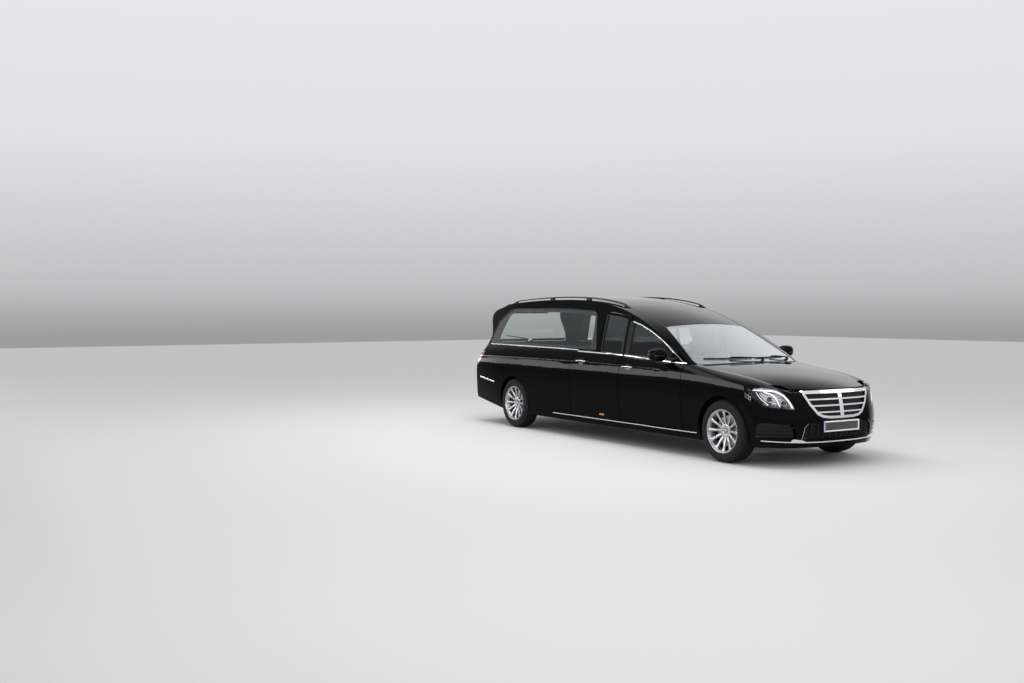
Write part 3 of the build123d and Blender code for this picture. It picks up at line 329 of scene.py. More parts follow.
# The library slot of a finish that isn't a slot itself; a piece may name another, or none, though add() only works the
# slot out and keeps it nowhere
USUAL_SLOT = {slot: slot for slot in SLOTS} | {
    "brake_iron": "alloy", "dark_cap": "alloy", "dark_steel": "chassis_paint", "dash_skin": "black_plastic",
    "dash_veneer": "deck_wood", "deck_steel": "chrome", "deep_red_lamp": "red_lamp", "floor_carpet": "trim_panel",
    "gloss_black": "black_plastic", "lamp_housing": "chrome", "lamp_reflector": "chrome", "lit_red": "red_lamp",
    "mirror_glass": "chrome", "plate_band": "black_plastic", "plate_edge": "black_plastic",
    "plate_face": "black_plastic", "roof_lining": "trim_panel", "screen_glass": "black_plastic",
    "white_lamp": "lamp_glass", "white_lens": "lamp_glass",
}

for part in frame["record"]["subparts"]:
    finish = GLASS_OF.get(part["node"], part["material_slot"])
    for slot in frame["nodes"][part["node"]].material_slots:
        slot.material = FINISHES[finish].material


# Mesh helpers: a shape is a pair of (verts, faces)
def add(name, shape, finish, body=BODY, slot="usual", smooth=40.0, replaces=()):
    """A finished piece that rides on a body, with its doubles merged and every face outward."""
    mesh = bpy.data.meshes.new(name)
    mesh.from_pydata([tuple(v) for v in shape[0]], [], shape[1])
    mesh.validate()
    obj = bpy.data.objects.new(name, mesh)
    bpy.context.scene.collection.objects.link(obj)
    mesh.materials.append(FINISHES[finish].material)
    mesh.shade_smooth()
    mesh.set_sharp_from_angle(angle=math.radians(smooth))
    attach(obj, body)
    slot = USUAL_SLOT.get(finish) if slot == "usual" else slot
    if replaces:
        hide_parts(*replaces)
    form = bmesh.new()
    form.from_mesh(mesh)
    bmesh.ops.remove_doubles(form, verts=form.verts, dist=0.00002)
    bmesh.ops.recalc_face_normals(form, faces=form.faces)
    form.to_mesh(mesh)
    form.free()
    return obj


def both_sides(name, shape, finish, body=BODY, slot="usual", smooth=40.0, replaces=()):
    """The same piece on the left-hand side of the car and, mirrored, on the right."""
    for side, form in (("left", shape), ("right", mirrored(shape))):
        gone = [node.replace("left", side) for node in replaces]
        add(f"{name}_{side}", form, finish, body.replace("left", side), slot, smooth, gone)


def tube(sections, ends=True):
    """Faces between closed sections of equal length: with flat ends, or else round a ring of them."""
    count, total = len(sections[0]), len(sections)
    verts = [v for section in sections for v in section]
    faces = [
        (i * count + k, i * count + (k + 1) % count, (i + 1) % total * count + (k + 1) % count,
         (i + 1) % total * count + k)
        for i in range(total - ends)
        for k in range(count)
    ]
    if ends:
        faces += [tuple(reversed(range(count))), tuple(range((total - 1) * count, total * count))]
    return verts, faces


def circle(count, turn=1.0):
    """Angles in equal steps round a full circle, or over a part of it with both its ends."""
    return [2 * math.pi * turn * k / count for k in range(count + (turn < 1))]


def bulged(value, power):
    """A sine or cosine that makes a fuller or a leaner outline than a circle's."""
    return math.copysign(abs(value) ** power, value)


def lathe(profile, turns=96):
    """A closed outline of (radius, outward) turned about the Y axis."""
    return tube([[(r * math.cos(a), out, r * math.sin(a)) for r, out in profile] for a in circle(turns)], False)


def join(*shapes):
    verts, faces = [], []
    for some_verts, some_faces in shapes:
        start = len(verts)
        verts += list(some_verts)
        faces += [tuple(start + i for i in face) for face in some_faces]
    return verts, faces


def soft_box(low, high, bevel=0.003, steps=2):
    """A box with rounded edges."""
    form = bmesh.new()
    bmesh.ops.create_cube(form, size=1.0)
    for v in form.verts:
        v.co = Vector([low[i] if v.co[i] < 0 else high[i] for i in range(3)])
    bmesh.ops.bevel(form, geom=form.edges, offset=bevel, segments=steps, profile=0.6, affect="EDGES")
    shape = [v.co.copy() for v in form.verts], [tuple(v.index for v in f.verts) for f in form.faces]
    form.free()
    return shape


def pad_box(size, bevel, steps=2):
    """A rounded box about the origin."""
    return soft_box([-s / 2 for s in size], [s / 2 for s in size], bevel, steps)


def from_axle(x, y, z):
    return Vector((FRONT_AXLE + x, y, z))


def axle_box(low, high, bevel=0.003, steps=2):
    """A rounded box whose X is measured from the front axle."""
    return soft_box(from_axle(*low), from_axle(*high), bevel, steps)


def round_bar(path, radius, sides=12, squash=(1.0, 1.0)):
    """A bar that follows a path of points, round or oval."""
    sections = []
    points = [Vector(p) for p in path]
    for i, point in enumerate(points):
        ahead = (points[min(i + 1, len(points) - 1)] - points[max(i - 1, 0)]).normalized()
        across = ahead.cross(Vector((0, 0, 1)))
        if across.length < 0.05:
            across = ahead.cross(Vector((1, 0, 0)))
        across.normalize()
        above = across.cross(ahead)
        r = radius[i] if isinstance(radius, (list, tuple)) else radius
        wide, high = r * squash[0], r * squash[1]
        sections.append([point + across * math.cos(a) * wide + above * math.sin(a) * high for a in circle(sides)])
    return tube(sections)


def axle_bar(path, radius, sides=12):
    """A round bar through points whose X is measured from the front axle."""
    return round_bar([from_axle(*p) for p in path], radius, sides)


def moved(shape, by=(0, 0, 0), turn=None):
    by = Vector(by)
    return [(turn @ Vector(v) if turn else Vector(v)) + by for v in shape[0]], shape[1]


def tilted(degrees, axis="Y"):
    return Matrix.Rotation(math.radians(degrees), 3, axis)


def facing(normal):
    """The turn that points a lathed shape's outward end along a normal."""
    return normal.to_track_quat("Y", "Z").to_matrix()


def mirrored(shape):
    """The same shape on the other side of the car."""
    return [(v[0], -v[1], v[2]) for v in shape[0]], [tuple(reversed(f)) for f in shape[1]]


def repeat_tree(name, ring):
    """Copies of a piece, round the Y axis or in a row, with the count and the step as inputs."""
    tree = bpy.data.node_groups.new(name, "GeometryNodeTree")
    face = tree.interface
    kinds = (("Geometry", "Geometry"), ("Count", "Int"), ("Step", "Vector"), ("Finish", "Material"))
    ids = [face.new_socket(title, in_out="INPUT", socket_type="NodeSocket" + kind).identifier for title,
           kind in kinds]
    face.new_socket("Geometry", in_out="OUTPUT", socket_type="NodeSocketGeometry")
    nodes, link = tree.nodes, tree.links.new
    start, end = nodes.new("NodeGroupInput"), nodes.new("NodeGroupOutput")
    line = nodes.new("GeometryNodeMeshLine")
    line.mode = "OFFSET"
    line.inputs["Offset"].default_value = (0, 0, 0)
    link(start.outputs["Count"], line.inputs["Count"])
    copies = nodes.new("GeometryNodeInstanceOnPoints")
    link(line.outputs["Mesh"], copies.inputs["Points"])
    link(start.outputs["Geometry"], copies.inputs["Instance"])
    if ring:
        index = nodes.new("GeometryNodeInputIndex")
        turn = nodes.new("ShaderNodeVectorMath")
        turn.operation = "SCALE"
        link(start.outputs["Step"], turn.inputs[0])
        link(index.outputs[0], turn.inputs["Scale"])
        link(turn.outputs[0], copies.inputs["Rotation"])
    else:
        link(start.outputs["Step"], line.inputs["Offset"])
    solid = nodes.new("GeometryNodeRealizeInstances")
    paint = nodes.new("GeometryNodeSetMaterial")
    link(copies.outputs[0], solid.inputs[0])
    link(solid.outputs[0], paint.inputs["Geometry"])
    link(start.outputs["Finish"], paint.inputs["Material"])
    link(paint.outputs[0], end.inputs[0])
    return tree, ids[1:]


def source_object(name, shape):
    mesh = bpy.data.meshes.new(name)
    mesh.from_pydata([tuple(v) for v in shape[0]], [], shape[1])
    source = bpy.data.objects.new(name, mesh)
    bpy.context.scene.collection.objects.link(source)
    return source


def evaluated(obj):
    return bpy.data.meshes.new_from_object(obj.evaluated_get(bpy.context.evaluated_depsgraph_get()))


def shape_of(mesh):
    return [v.co.copy() for v in mesh.vertices], [tuple(p.vertices) for p in mesh.polygons]


REPEATS = {ring: repeat_tree(name, ring) for ring, name in ((True, "ring_of_pieces"), (False, "row_of_pieces"))}


def repeated(shape, count, step, finish):
    """A shape copied in a row by a step, or, where the step is None, all round the Y axis."""
    source = source_object("repeat_source", shape)
    modifier = source.modifiers.new("repeat", "NODES")
    modifier.node_group, (count_id, step_id, look_id) = REPEATS[step is None]
    modifier[count_id], modifier[step_id] = count, step or (0, 2 * math.pi / count, 0)
    modifier[look_id] = FINISHES[finish].material
    result = evaluated(source)
    copies = shape_of(result)
    bpy.data.objects.remove(source)
    bpy.data.meshes.remove(result)
    return copies


# Places on the skin
class Skin:
    """The outer surface of some CAD pieces, asked for the point that a straight look at it meets."""

    def __init__(self, *names):
        self.tree = BVHTree.FromPolygons(*join(*(shape_of(frame["nodes"][name].data) for name in names)))

    def met(self, start, ahead):
        point, normal, _, _ = self.tree.ray_cast(Vector(start), Vector(ahead))
        return (point, normal) if point else None

    def side(self, x, z):
        return self.met((x + FRONT_AXLE, 3, z), (0, -1, 0))

    def lining(self, x, z):
        return self.met((x + FRONT_AXLE, 0.3, z), (0, 1, 0))

    def top(self, x, y):
        return self.met((x + FRONT_AXLE, y, 4), (0, 0, -1))

    def ceiling(self, x, y):
        return self.met((x + FRONT_AXLE, y, 1.0), (0, 0, 1))

    def nose(self, y, z):
        return self.met((6, y, z), (-1, 0, 0))

    def tail(self, y, z):
        return self.met((-6, y, z), (1, 0, 0))


left_side = Skin("body_side_left", "front_wing_left", "front_door_left", "rear_door_left").side
nose = Skin("front_bumper", "front_wing_left", "front_wing_right").nose
tail = Skin("tailgate", "rear_bumper", "body_side_left", "body_side_right").tail


def stepped(points, step, smooth=False):
    """Points along a plane line at even steps, straight or rounded through the corners."""
    points = [Vector((*p, 0.0)) for p in points]
    if smooth:
        ends = [2 * points[0] - points[1], *points, 2 * points[-1] - points[-2]]
        fine = []
        for a, b, c, d in zip(ends, ends[1:], ends[2:], ends[3:]):
            slope, bend, twist = c - a, 2 * a - 5 * b + 4 * c - d, 3 * b - a - 3 * c + d
            fine += [0.5 * (2 * b + slope * t + bend * t * t + twist * t ** 3) for t in (i / 8 for i in range(8))]
        points = [*fine, points[-1]]
    line = [points[0]]
    for start, end in zip(points, points[1:]):
        count = max(1, round((end - start).length / step))
        line += [start.lerp(end, (i + 1) / count) for i in range(count)]
    return [(p.x, p.y) for p in line]


def over_skin(look, line):
    """Points and normals where a line drawn in a plain view lies on the skin."""
    found = [place for place in (look(*p) for p in line) if place]
    points = [p for p, _ in found]
    normals = [sum((n for _, n in found[max(0, i - 3):i + 4]), Vector()).normalized() for i in range(len(found))]
    return points, normals


def swept(points, normals, outline, loop=False):
    """A closed outline of (across, proud) carried along a line that lies on a surface."""
    sections = []
    last = len(points) - 1
    for i, (point, normal) in enumerate(zip(points, normals)):
        before = points[i - 1] if i or loop else points[0]
        after = points[(i + 1) % len(points)] if i < last or loop else points[last]
        ahead = (after - before).normalized()
        across = normal.cross(ahead).normalized()
        proud = ahead.cross(across)
        sections.append([point + across * u + proud * v for u, v in outline])
    return tube(sections, not loop)


def bar_outline(width, proud, sunk=0.002, crown=0.6):
    """The cross-section of a trim bar: a flat foot, round shoulders and a crowned face."""
    half = width / 2
    right = [(half, proud * 0.45), (half * 0.86, proud * 0.85), (half * crown, proud * 0.97)]
    return [(-half, -sunk), (half, -sunk), *right, (0.0, proud), *((-u, v) for u, v in reversed(right))]


def bar_on(look, line, outline, step=0.02, smooth=False):
    """A bar that lies on the skin along a line drawn in a plain view."""
    return swept(*over_skin(look, stepped(line, step, smooth)), outline)


def side_bar(line, width, proud, step=0.03, smooth=False):
    return bar_on(left_side, line, bar_outline(width, proud), step, smooth)


def seal_round(look, corners, outline, step):
    """A thin seal round a window, drawn in a plain view."""
    return swept(*over_skin(look, stepped([*corners, corners[0]], step)[:-1]), outline, True)


def spread(corners, middle, by=0.002):
    """An outline with each corner moved away from its middle."""
    return [(u + math.copysign(by, u - middle[0]), v + math.copysign(by, v - middle[1])) for u, v in corners]


def centre(corners):
    return [sum(p[i] for p in corners) / len(corners) for i in (0, 1)]


def lifted(points, normals, base, rise):
    """Points raised off the skin, the most at the middle of their line."""
    last = len(points) - 1
    return [p + n * (base + rise * math.sin(math.pi * i / last)) for i, (p, n) in enumerate(zip(points, normals))]


def slab(corners, near, far):
    """A flat piece between two faces of the same outline."""
    verts = [near(*c) for c in corners] + [far(*c) for c in corners]
    n = len(corners)
    faces = [tuple(range(n)), tuple(reversed(range(n, 2 * n)))]
    faces += [(i, n + i, n + (i + 1) % n, (i + 1) % n) for i in range(n)]
    return verts, faces


def edge_distance(u, v, outline):
    """How far a point lies from an outline, less than nothing outside it."""
    best, odd = 9.0, False
    for (x0, y0), (x1, y1) in zip(outline, outline[1:] + outline[:1]):
        dx, dy = x1 - x0, y1 - y0
        t = min(1.0, max(0.0, ((u - x0) * dx + (v - y0) * dy) / (dx * dx + dy * dy)))
        best = min(best, math.hypot(u - x0 - t * dx, v - y0 - t * dy))
        if (y0 > v) != (y1 > v) and u < dx * (v - y0) / dy + x0:
            odd = not odd
    return best if odd else -best


def patch(look, outline, proud, thick, step=0.02):
    """A panel over the skin inside an outline drawn in a plain view; proud may change with the distance to its edge."""
    edge = stepped([*outline, outline[0]], step)[:-1]
    low, high = ([limit(p[i] for p in edge) for i in (0, 1)] for limit in (min, max))
    across, up = (range(math.ceil((high[i] - low[i]) / step) + 1) for i in (0, 1))
    inner = [(low[0] + i * step, low[1] + j * step) for i in across for j in up]
    inner = [p for p in inner if edge_distance(*p, edge) > step * 0.5]
    flat, _, faces, *_ = delaunay_2d_cdt([Vector(p) for p in edge + inner], [], [list(range(len(edge)))], 1, 1e-7)
    middle = Vector(((low[0] + high[0]) / 2, (low[1] + high[1]) / 2))
    places = []
    for p in flat:
        tries = (p.lerp(middle, share) for share in (0.0, 0.01, 0.02, 0.035, 0.05, 0.075, 0.1))
        places.append(next(filter(None, (look(t.x, t.y) for t in tries)), None))
    faces = [f for f in faces if all(places[i] for i in f)]
    outer, under = [], []
    for p, place in zip(flat, places):
        point, normal = place or (Vector(), Vector())
        height = proud(max(0.0, edge_distance(p.x, p.y, edge))) if callable(proud) else proud
        outer.append(point + normal * height)
        under.append(point + normal * (height - thick))
    once = {}
    for face in faces:
        for a, b in zip(face, [*face[1:], face[0]]):
            once[frozenset((a, b))] = None if frozenset((a, b)) in once else (a, b)
    total = len(flat)
    walls = [(b, a, total + a, total + b) for a, b in filter(None, once.values())]
    used = sorted({i for face in faces for i in face})
    place_of = {i: k for k, i in enumerate(used)} | {total + i: len(used) + k for k, i in enumerate(used)}
    verts = [outer[i] for i in used] + [under[i] for i in used]
    every = [*map(tuple, faces), *[tuple(total + i for i in reversed(f)) for f in faces], *walls]
    return verts, [tuple(place_of[i] for i in face) for face in every]


# Wheels: every outline is (radius, outward) from the wheel's middle
WHEEL_Y, AXLE_Z = 0.795, 0.335
SPOKES, BOLTS, TREAD_BLOCKS, VANES = 12, 5, 96, 40
RIM = [
    (0.2335, 0.1045), (0.2352, 0.1035), (0.2358, 0.101), (0.235, 0.0985), (0.228, 0.0978), (0.219, 0.0968),
    (0.2182, 0.07), (0.206, 0.052), (0.205, -0.06), (0.2182, -0.074), (0.2188, -0.097), (0.235, -0.0985),
    (0.2355, -0.104), (0.233, -0.1052), (0.213, -0.1), (0.211, -0.074), (0.199, -0.058), (0.199, 0.05),
    (0.208, 0.064), (0.211, 0.0875), (0.216, 0.094), (0.229, 0.0985), (0.232, 0.102),
]
HUB = [
    (0.03, 0.05), (0.034, 0.0535), (0.04, 0.0545), (0.064, 0.056), (0.072, 0.054), (0.076, 0.044), (0.074, 0.022),
    (0.031, 0.022),
]
CAP = [(0.0005, 0.0585), (0.015, 0.058), (0.025, 0.056), (0.029, 0.052), (0.029, 0.04), (0.0005, 0.04)]
SLEEVE = [(0.0085, 0.0575), (0.0125, 0.058), (0.0135, 0.056), (0.013, 0.04), (0.0085, 0.04)]
BOLT = [(0.0004, 0.048), (0.0055, 0.048), (0.0075, 0.047), (0.0083, 0.04), (0.0004, 0.04)]
TYRE = [
    (0.219, 0.097), (0.235, 0.097), (0.24, 0.099), (0.247, 0.1065), (0.256, 0.1105), (0.258, 0.1122),
    (0.26, 0.1108), (0.27, 0.1118), (0.282, 0.1112), (0.284, 0.1124), (0.286, 0.1104), (0.3, 0.107),
    (0.312, 0.101), (0.313, 0.1022), (0.315, 0.099), (0.323, 0.093), (0.3262, 0.088),
    (0.3278, 0.088), (0.332, 0.064), (0.3265, 0.0625), (0.3265, 0.0545), (0.3335, 0.053), (0.3345, 0.023),
    (0.3268, 0.0215), (0.3268, 0.0105), (0.3348, 0.009),
]
TYRE_BORE = [
    (0.22, -0.085), (0.26, -0.099), (0.3, -0.093), (0.315, -0.078), (0.315, 0.078), (0.3, 0.093), (0.26, 0.099),
    (0.22, 0.085),
]
DISC = [(0.077, 0.0), (0.078, 0.02), (0.085, 0.02), (0.087, -0.001), (0.16, -0.001), (0.16, -0.01), (0.075, -0.01)]
BACK_PLATE = [(0.075, -0.025), (0.16, -0.025), (0.16, -0.034), (0.075, -0.034)]
# The front disc is plain at the back and stands further out, clear of the suspension when it's steered
FRONT_DISC = [
    (0.077, 0.018), (0.078, 0.028), (0.085, 0.028), (0.087, 0.017), (0.16, 0.017), (0.16, 0.008), (0.075, 0.008),
]


def spoke():
    """One spoke from the hub out to the rim, wider and prouder at the rim."""
    sections = []
    for r, half, out, thick in (
        (0.05, 0.0125, 0.05, 0.026), (0.075, 0.013, 0.057, 0.024), (0.11, 0.0132, 0.065, 0.021),
        (0.15, 0.014, 0.074, 0.019), (0.185, 0.0165, 0.083, 0.018), (0.204, 0.0215, 0.088, 0.018),
        (0.2115, 0.028, 0.088, 0.018),
    ):
        left = [(-half, out - thick, r), (-half * 1.05, out - 0.006, r), (-half * 0.62, out - 0.0008, r)]
        sections.append([*left, (0.0, out, r), *((-x, y, z) for x, y, z in reversed(left))])
    return tube(sections)


def tyre():
    carcass = lathe(TYRE + [(r, -out) for r, out in reversed(TYRE)] + TYRE_BORE, 120)
    verts, faces = soft_box((-0.0068, 0.088, 0.318), (0.0068, 0.1, 0.3268), 0.0012, 1)
    leaning = [Vector((x + (y - 0.09) * 0.25, y, z - max(0.0, y - 0.088) * 0.75)) for x, y, z in verts]
    blocks = repeated((leaning, faces), TREAD_BLOCKS, None, "tyre")
    return join(carcass, blocks, moved(blocks, turn=tilted(180, "Z")))


def make_wheels():
    sleeve, bolt = (moved(lathe(line, turns), (0, 0, 0.0525)) for line, turns in ((SLEEVE, 24), (BOLT, 6)))
    sleeves, bolts = repeated(sleeve, BOLTS, None, "alloy"), repeated(bolt, BOLTS, None, "dark_steel")
    rim = join(lathe(RIM, 120), repeated(spoke(), SPOKES, None, "alloy"), lathe(HUB, 96), sleeves)
    vane = soft_box((-0.003, -0.025, 0.092), (0.003, -0.01, 0.158), 0.0005, 1)
    rear_disc = join(lathe(DISC), repeated(vane, VANES, None, "brake_iron"), lathe(BACK_PLATE))
    tread, cap = tyre(), lathe(CAP, 48)
    for end, x, disc in (("front", FRONT_AXLE, lathe(FRONT_DISC)), ("rear", FRONT_AXLE - WHEELBASE, rear_disc)):
        for side, out in (("left", 1), ("right", -1)):
            name = f"{end}_{side}"
            for label, shape, finish, smooth, gone in (
                (f"dressed_tyre_{name}", tread, "tyre", 32, ("tyre_" + name,)),
                (f"rim_{name}_detail", rim, "alloy", 35, ("rim_" + name,)),
                (f"cap_{name}_detail", cap, "dark_cap", 35, ()),
                (f"bolts_{name}_detail", bolts, "dark_steel", 35, ()),
                (f"brake_disc_{name}", disc, "brake_iron", 30, ()),
            ):
                placed = moved(shape, (x, out * WHEEL_Y, AXLE_Z), tilted(0 if out > 0 else 180, "Z"))
                slot = "tyre" if finish == "tyre" else "alloy"
                add(label, placed, finish, "wheel_" + name, slot, smooth, gone)


make_wheels()


# Bright trims, handles, seals and markers of the sides, drawn as (back from the front axle, up)
def make_side_trims():
    for name, line, width, proud, step, smooth, body in (
        ("belt_strip_rear", [(-4.975, 1.132), (-4.0, 1.126), (-3.07, 1.117), (-2.72, 1.108)], 0.017, 0.005, 0.03,
         False, BODY),
        ("belt_strip_rear_door", [(-2.688, 1.0965), (-2.33, 1.089), (-1.797, 1.0775)], 0.017, 0.005, 0.03, False,
         "rear_door_left"),
        ("belt_strip_front_door", [(-1.768, 1.0765), (-1.6, 1.0705), (-1.31, 1.05), (-1.0, 1.0375), (-0.662, 1.022)],
         0.017, 0.005, 0.03, False, "front_door_left"),
        ("window_strip", [(-0.722, 1.036), (-0.8, 1.0895), (-1.065, 1.2505), (-1.29, 1.353), (-1.492, 1.426),
                          (-1.6, 1.456),
                          (-1.705, 1.479)], 0.011, 0.0035, 0.02, True, "front_door_left"),
        ("sill_strip", [(-3.23, 0.2775), (-0.42, 0.2775)], 0.01, 0.004, 0.06, False, BODY),
    ):
        both_sides(name, side_bar(line, width, proud, step, smooth), "chrome", body)

    seal = [(-0.004, -0.006), (0.004, -0.006), (0.005, 0.001), (0.0, 0.0025), (-0.005, 0.001)]
    for name, window in (
        ("front", [(-0.8, 1.078), (-1.065, 1.24), (-1.29, 1.343), (-1.492, 1.416), (-1.6, 1.446), (-1.69, 1.466),
                   (-1.69, 1.082)]),
        ("rear", [(-1.838, 1.09), (-1.838, 1.502), (-2.0, 1.529), (-2.245, 1.552), (-2.24, 1.108)]),
    ):
        round_window = seal_round(left_side, spread(window, centre(window)), seal, 0.03)
        both_sides(f"{name}_window_seal", round_window, "rubber_seal", f"{name}_door_left")
    for name, outline, step, body in (
        ("pillar_cover", [(-1.7, 1.088), (-1.7, 1.474), (-1.762, 1.49), (-1.766, 1.088)], 0.03, "front_door_left"),
        ("rear_pillar_cover", [(-1.802, 1.092), (-1.802, 1.502), (-1.829, 1.506), (-1.829, 1.092)], 0.02,
         "rear_door_left"),
    ):
        both_sides(name, patch(left_side, outline, 0.0022, 0.003, step), "gloss_black", body, None)

    steps = 24
    for name, start, end, z in (("front", -1.725, -1.488, 0.945), ("rear", -2.672, -2.41, 0.975)):
        body = f"{name}_door_left"
        grip, inlay, thick = [], [], []
        for t in (i / steps for i in range(steps + 1)):
            arch = math.sin(math.pi * t)
            lift = 0.034 * (1 - abs(2 * t - 1) ** 5)
            point, normal = left_side(start + (end - start) * t, z + 0.006 * arch)
            grip.append(point + normal * (lift - 0.002))
            thick.append(0.0075 + 0.004 * arch)
            if 0.06 < t < 0.94:
                inlay.append((point + normal * (lift + 0.0052), normal))
        both_sides(f"{name}_handle", round_bar(grip, thick, 14, (0.62, 1.35)), "gloss_black", body, None)
        both_sides(f"{name}_handle_inlay", swept(*zip(*inlay), bar_outline(0.0075, 0.0022, 0.003)), "chrome", body)
        dish = [(start + 0.05 + 0.065 * (1 + math.cos(a)), z + 0.034 * math.sin(a)) for a in circle(20)]
        both_sides(f"{name}_handle_cup", patch(left_side, dish, 0.0012, 0.003, 0.01), "gloss_black", body, None)

    marker = [(-2.19, 0.333), (-2.19, 0.352), (-2.1, 0.352), (-2.1, 0.333)]
    both_sides("side_marker", patch(left_side, marker, 0.004, 0.006, 0.01), "amber_lamp", "rear_door_left", None)


# The mirror's inner and outer ends, and how far it reaches ahead of its middle
MIRROR_IN, MIRROR_OUT, MIRROR_FRONT = 0.893, 1.107, 0.084


def mirror_swell(t):
    """The fullness of the mirror's housing from its inner end to its outer one, and its reach to the front."""
    swell = max(0.02, 1 - abs(2 * t - 1) ** 3.2) ** 0.5
    return swell, MIRROR_FRONT * swell ** 1.3 * (1 - 0.25 * t)


def make_mirrors():
    """A door mirror: a rounded housing, flat at the back round its glass, on a short foot."""
    body = "front_door_left"
    rows, around, width = 26, 40, MIRROR_OUT - MIRROR_IN
    sections = []
    for i in range(rows + 1):
        t = 0.5 - 0.5 * math.cos(math.pi * i / rows)
        swell, front = mirror_swell(t)
        section = []
        for a in circle(around):
            ahead = math.cos(a) > 0
            x = bulged(math.cos(a), 0.9 if ahead else 0.35) * (front if ahead else 0.052 * min(1.0, swell * 1.15))
            z = bulged(math.sin(a), 0.8) * (0.077 - 0.008 * t) * swell
            section.append(from_axle(-0.936 + x - 0.012 * t, MIRROR_IN + width * t, 1.11 + z + 0.006 * t))
        sections.append(section)
    both_sides("mirror_housing", tube(sections), "black_paint", body, smooth=50, replaces=("mirror_left",))

    rim = [(1.001 + bulged(math.cos(a), 0.62) * 0.088, 1.112 + bulged(math.sin(a), 0.7) * 0.054) for a in circle(48)]
    pane = slab(rim, lambda y, z: from_axle(-1.003, y, z), lambda y, z: from_axle(-0.9955, y, z))
    both_sides("mirror_pane", pane, "mirror_glass", body, "window_glass", 20)
    edge = [(-0.006, -0.012), (0.006, -0.012), (0.006, 0.003), (0.0, 0.005), (-0.006, 0.003)]
    bezel = swept([from_axle(-1.0005, y, z) for y, z in rim], [Vector((-1, 0, 0))] * len(rim), edge, True)
    both_sides("mirror_bezel", bezel, "gloss_black", body, None, 30)
    foot = [from_axle(*p) for p in (
        (-0.868, 0.8, 1.06), (-0.872, 0.85, 1.064), (-0.885, 0.89, 1.07), (-0.905, 0.925, 1.078),
        (-0.915, 0.96, 1.09))]
    foot = round_bar(foot, [0.04, 0.034, 0.026, 0.024, 0.026], 20, (1.0, 0.55))
    both_sides("mirror_foot", foot, "gloss_black", body, None, 50)
    lamp = []
    for y in (0.965 + 0.118 * i / 14 for i in range(15)):
        t = (y - MIRROR_IN) / width
        lamp.append(from_axle(-0.936 + mirror_swell(t)[1] * 0.985 - 0.012 * t, y, 1.1 + 0.006 * t))
    both_sides("mirror_lamp", round_bar(lamp, 0.0042, 10, (1.0, 0.8)), "screen_glass", body, "lamp_glass", 50)


make_side_trims()
make_mirrors()


# Nose: lamps, grille, intakes, plate and wipers, drawn as (left, up)
LAMP_GLASS = [
    (0.876, 0.8), (0.87, 0.722), (0.812, 0.652), (0.74, 0.612), (0.64, 0.6), (0.566, 0.594), (0.602, 0.69),
    (0.645, 0.762),
    (0.7, 0.806), (0.8, 0.822),
]
LAMP_PANEL = [(0.872, 0.79), (0.832, 0.8), (0.822, 0.748), (0.786, 0.655), (0.812, 0.658), (0.866, 0.716)]
# The painted corner between a headlamp and the grille
LAMP_CORNER = [
    (0.424, 0.585), (0.47, 0.66), (0.5, 0.735), (0.512, 0.792), (0.558, 0.792), (0.58, 0.827), (0.69, 0.834),
    (0.69, 0.802), (0.645, 0.768), (0.6, 0.692), (0.562, 0.594),
]
WIPER_BLADE = [(-0.006, 0.004), (-0.0012, 0.001), (0.0012, 0.001), (0.006, 0.004), (0.004, 0.013), (-0.004, 0.013)]


def make_headlamps():
    """Bright housings, lit strips and two bowls behind each clear cover, and the painted corner beside it."""
    look = Skin("headlamps").nose
    inset = [(y + (0.7 - y) * 0.015, z + (0.7 - z) * 0.03) for y, z in LAMP_GLASS]
    both_sides("headlamp_housing", patch(look, inset, lambda d: -0.005 - min(0.05, d * 1.4), 0.003, 0.012),
               "lamp_housing")
    both_sides("headlamp_outer_panel", patch(look, LAMP_PANEL, -0.004, 0.002, 0.012), "gloss_black")
    both_sides("headlamp_corner", patch(look, LAMP_CORNER, 0.0006, 0.003, 0.015), "black_paint")
    for name, width, line in (
        ("top", 0.014, [(0.85, 0.792), (0.777, 0.793), (0.713, 0.784), (0.655, 0.745), (0.618, 0.69),
                        (0.586, 0.618)]),
        ("middle", 0.01, [(0.79, 0.78), (0.74, 0.752), (0.712, 0.7), (0.694, 0.632)]),
        ("outer", 0.009, [(0.836, 0.775), (0.826, 0.73), (0.808, 0.69), (0.776, 0.646)]),
    ):
        half = width / 2
        lit = [(-half, -0.02), (half, -0.02), (half, -0.006), (half / 2, -0.003), (-half / 2, -0.003),
               (-half, -0.006)]
        both_sides(f"{name}_brow", bar_on(look, line, lit, 0.008, True), "white_lamp")
    bowl = lathe([(0.0005, -0.052), (0.012, -0.05), (0.022, -0.04), (0.027, -0.02), (0.03, -0.018), (0.027, -0.046),
                  (0.0005, -0.058)], 40)
    bulb = lathe([(0.0004, -0.016), (0.009, -0.018), (0.0155, -0.025), (0.018, -0.034), (0.016, -0.042),
                  (0.0004, -0.044)], 32)
    for name, y, z in (("main_bowl", 0.762, 0.705), ("dip_bowl", 0.66, 0.665)):
        point, normal = look(y, z)
        both_sides(name, moved(bowl, point, facing(normal)), "lamp_reflector")
        both_sides(name + "_lens", moved(bulb, point, facing(normal)), "screen_glass", slot="lamp_glass")


def make_grille_lattice():
    """A fine dark lattice behind the bright slats."""
    look = Skin("grille_mesh").nose
    wire = [(-0.0012, -0.001), (0.0012, -0.001), (0.0012, 0.003), (-0.0012, 0.003)]
    rows = []
    for z in (0.522 + i * 0.0102 for i in range(26)):
        half = 0.3 + 0.17 * min(1.0, (z - 0.5) / 0.26) ** 0.7
        rows.append(bar_on(look, [(-half, z), (half, z)], wire, 0.05))
    add("grille_lattice", join(*rows), "black_plastic")


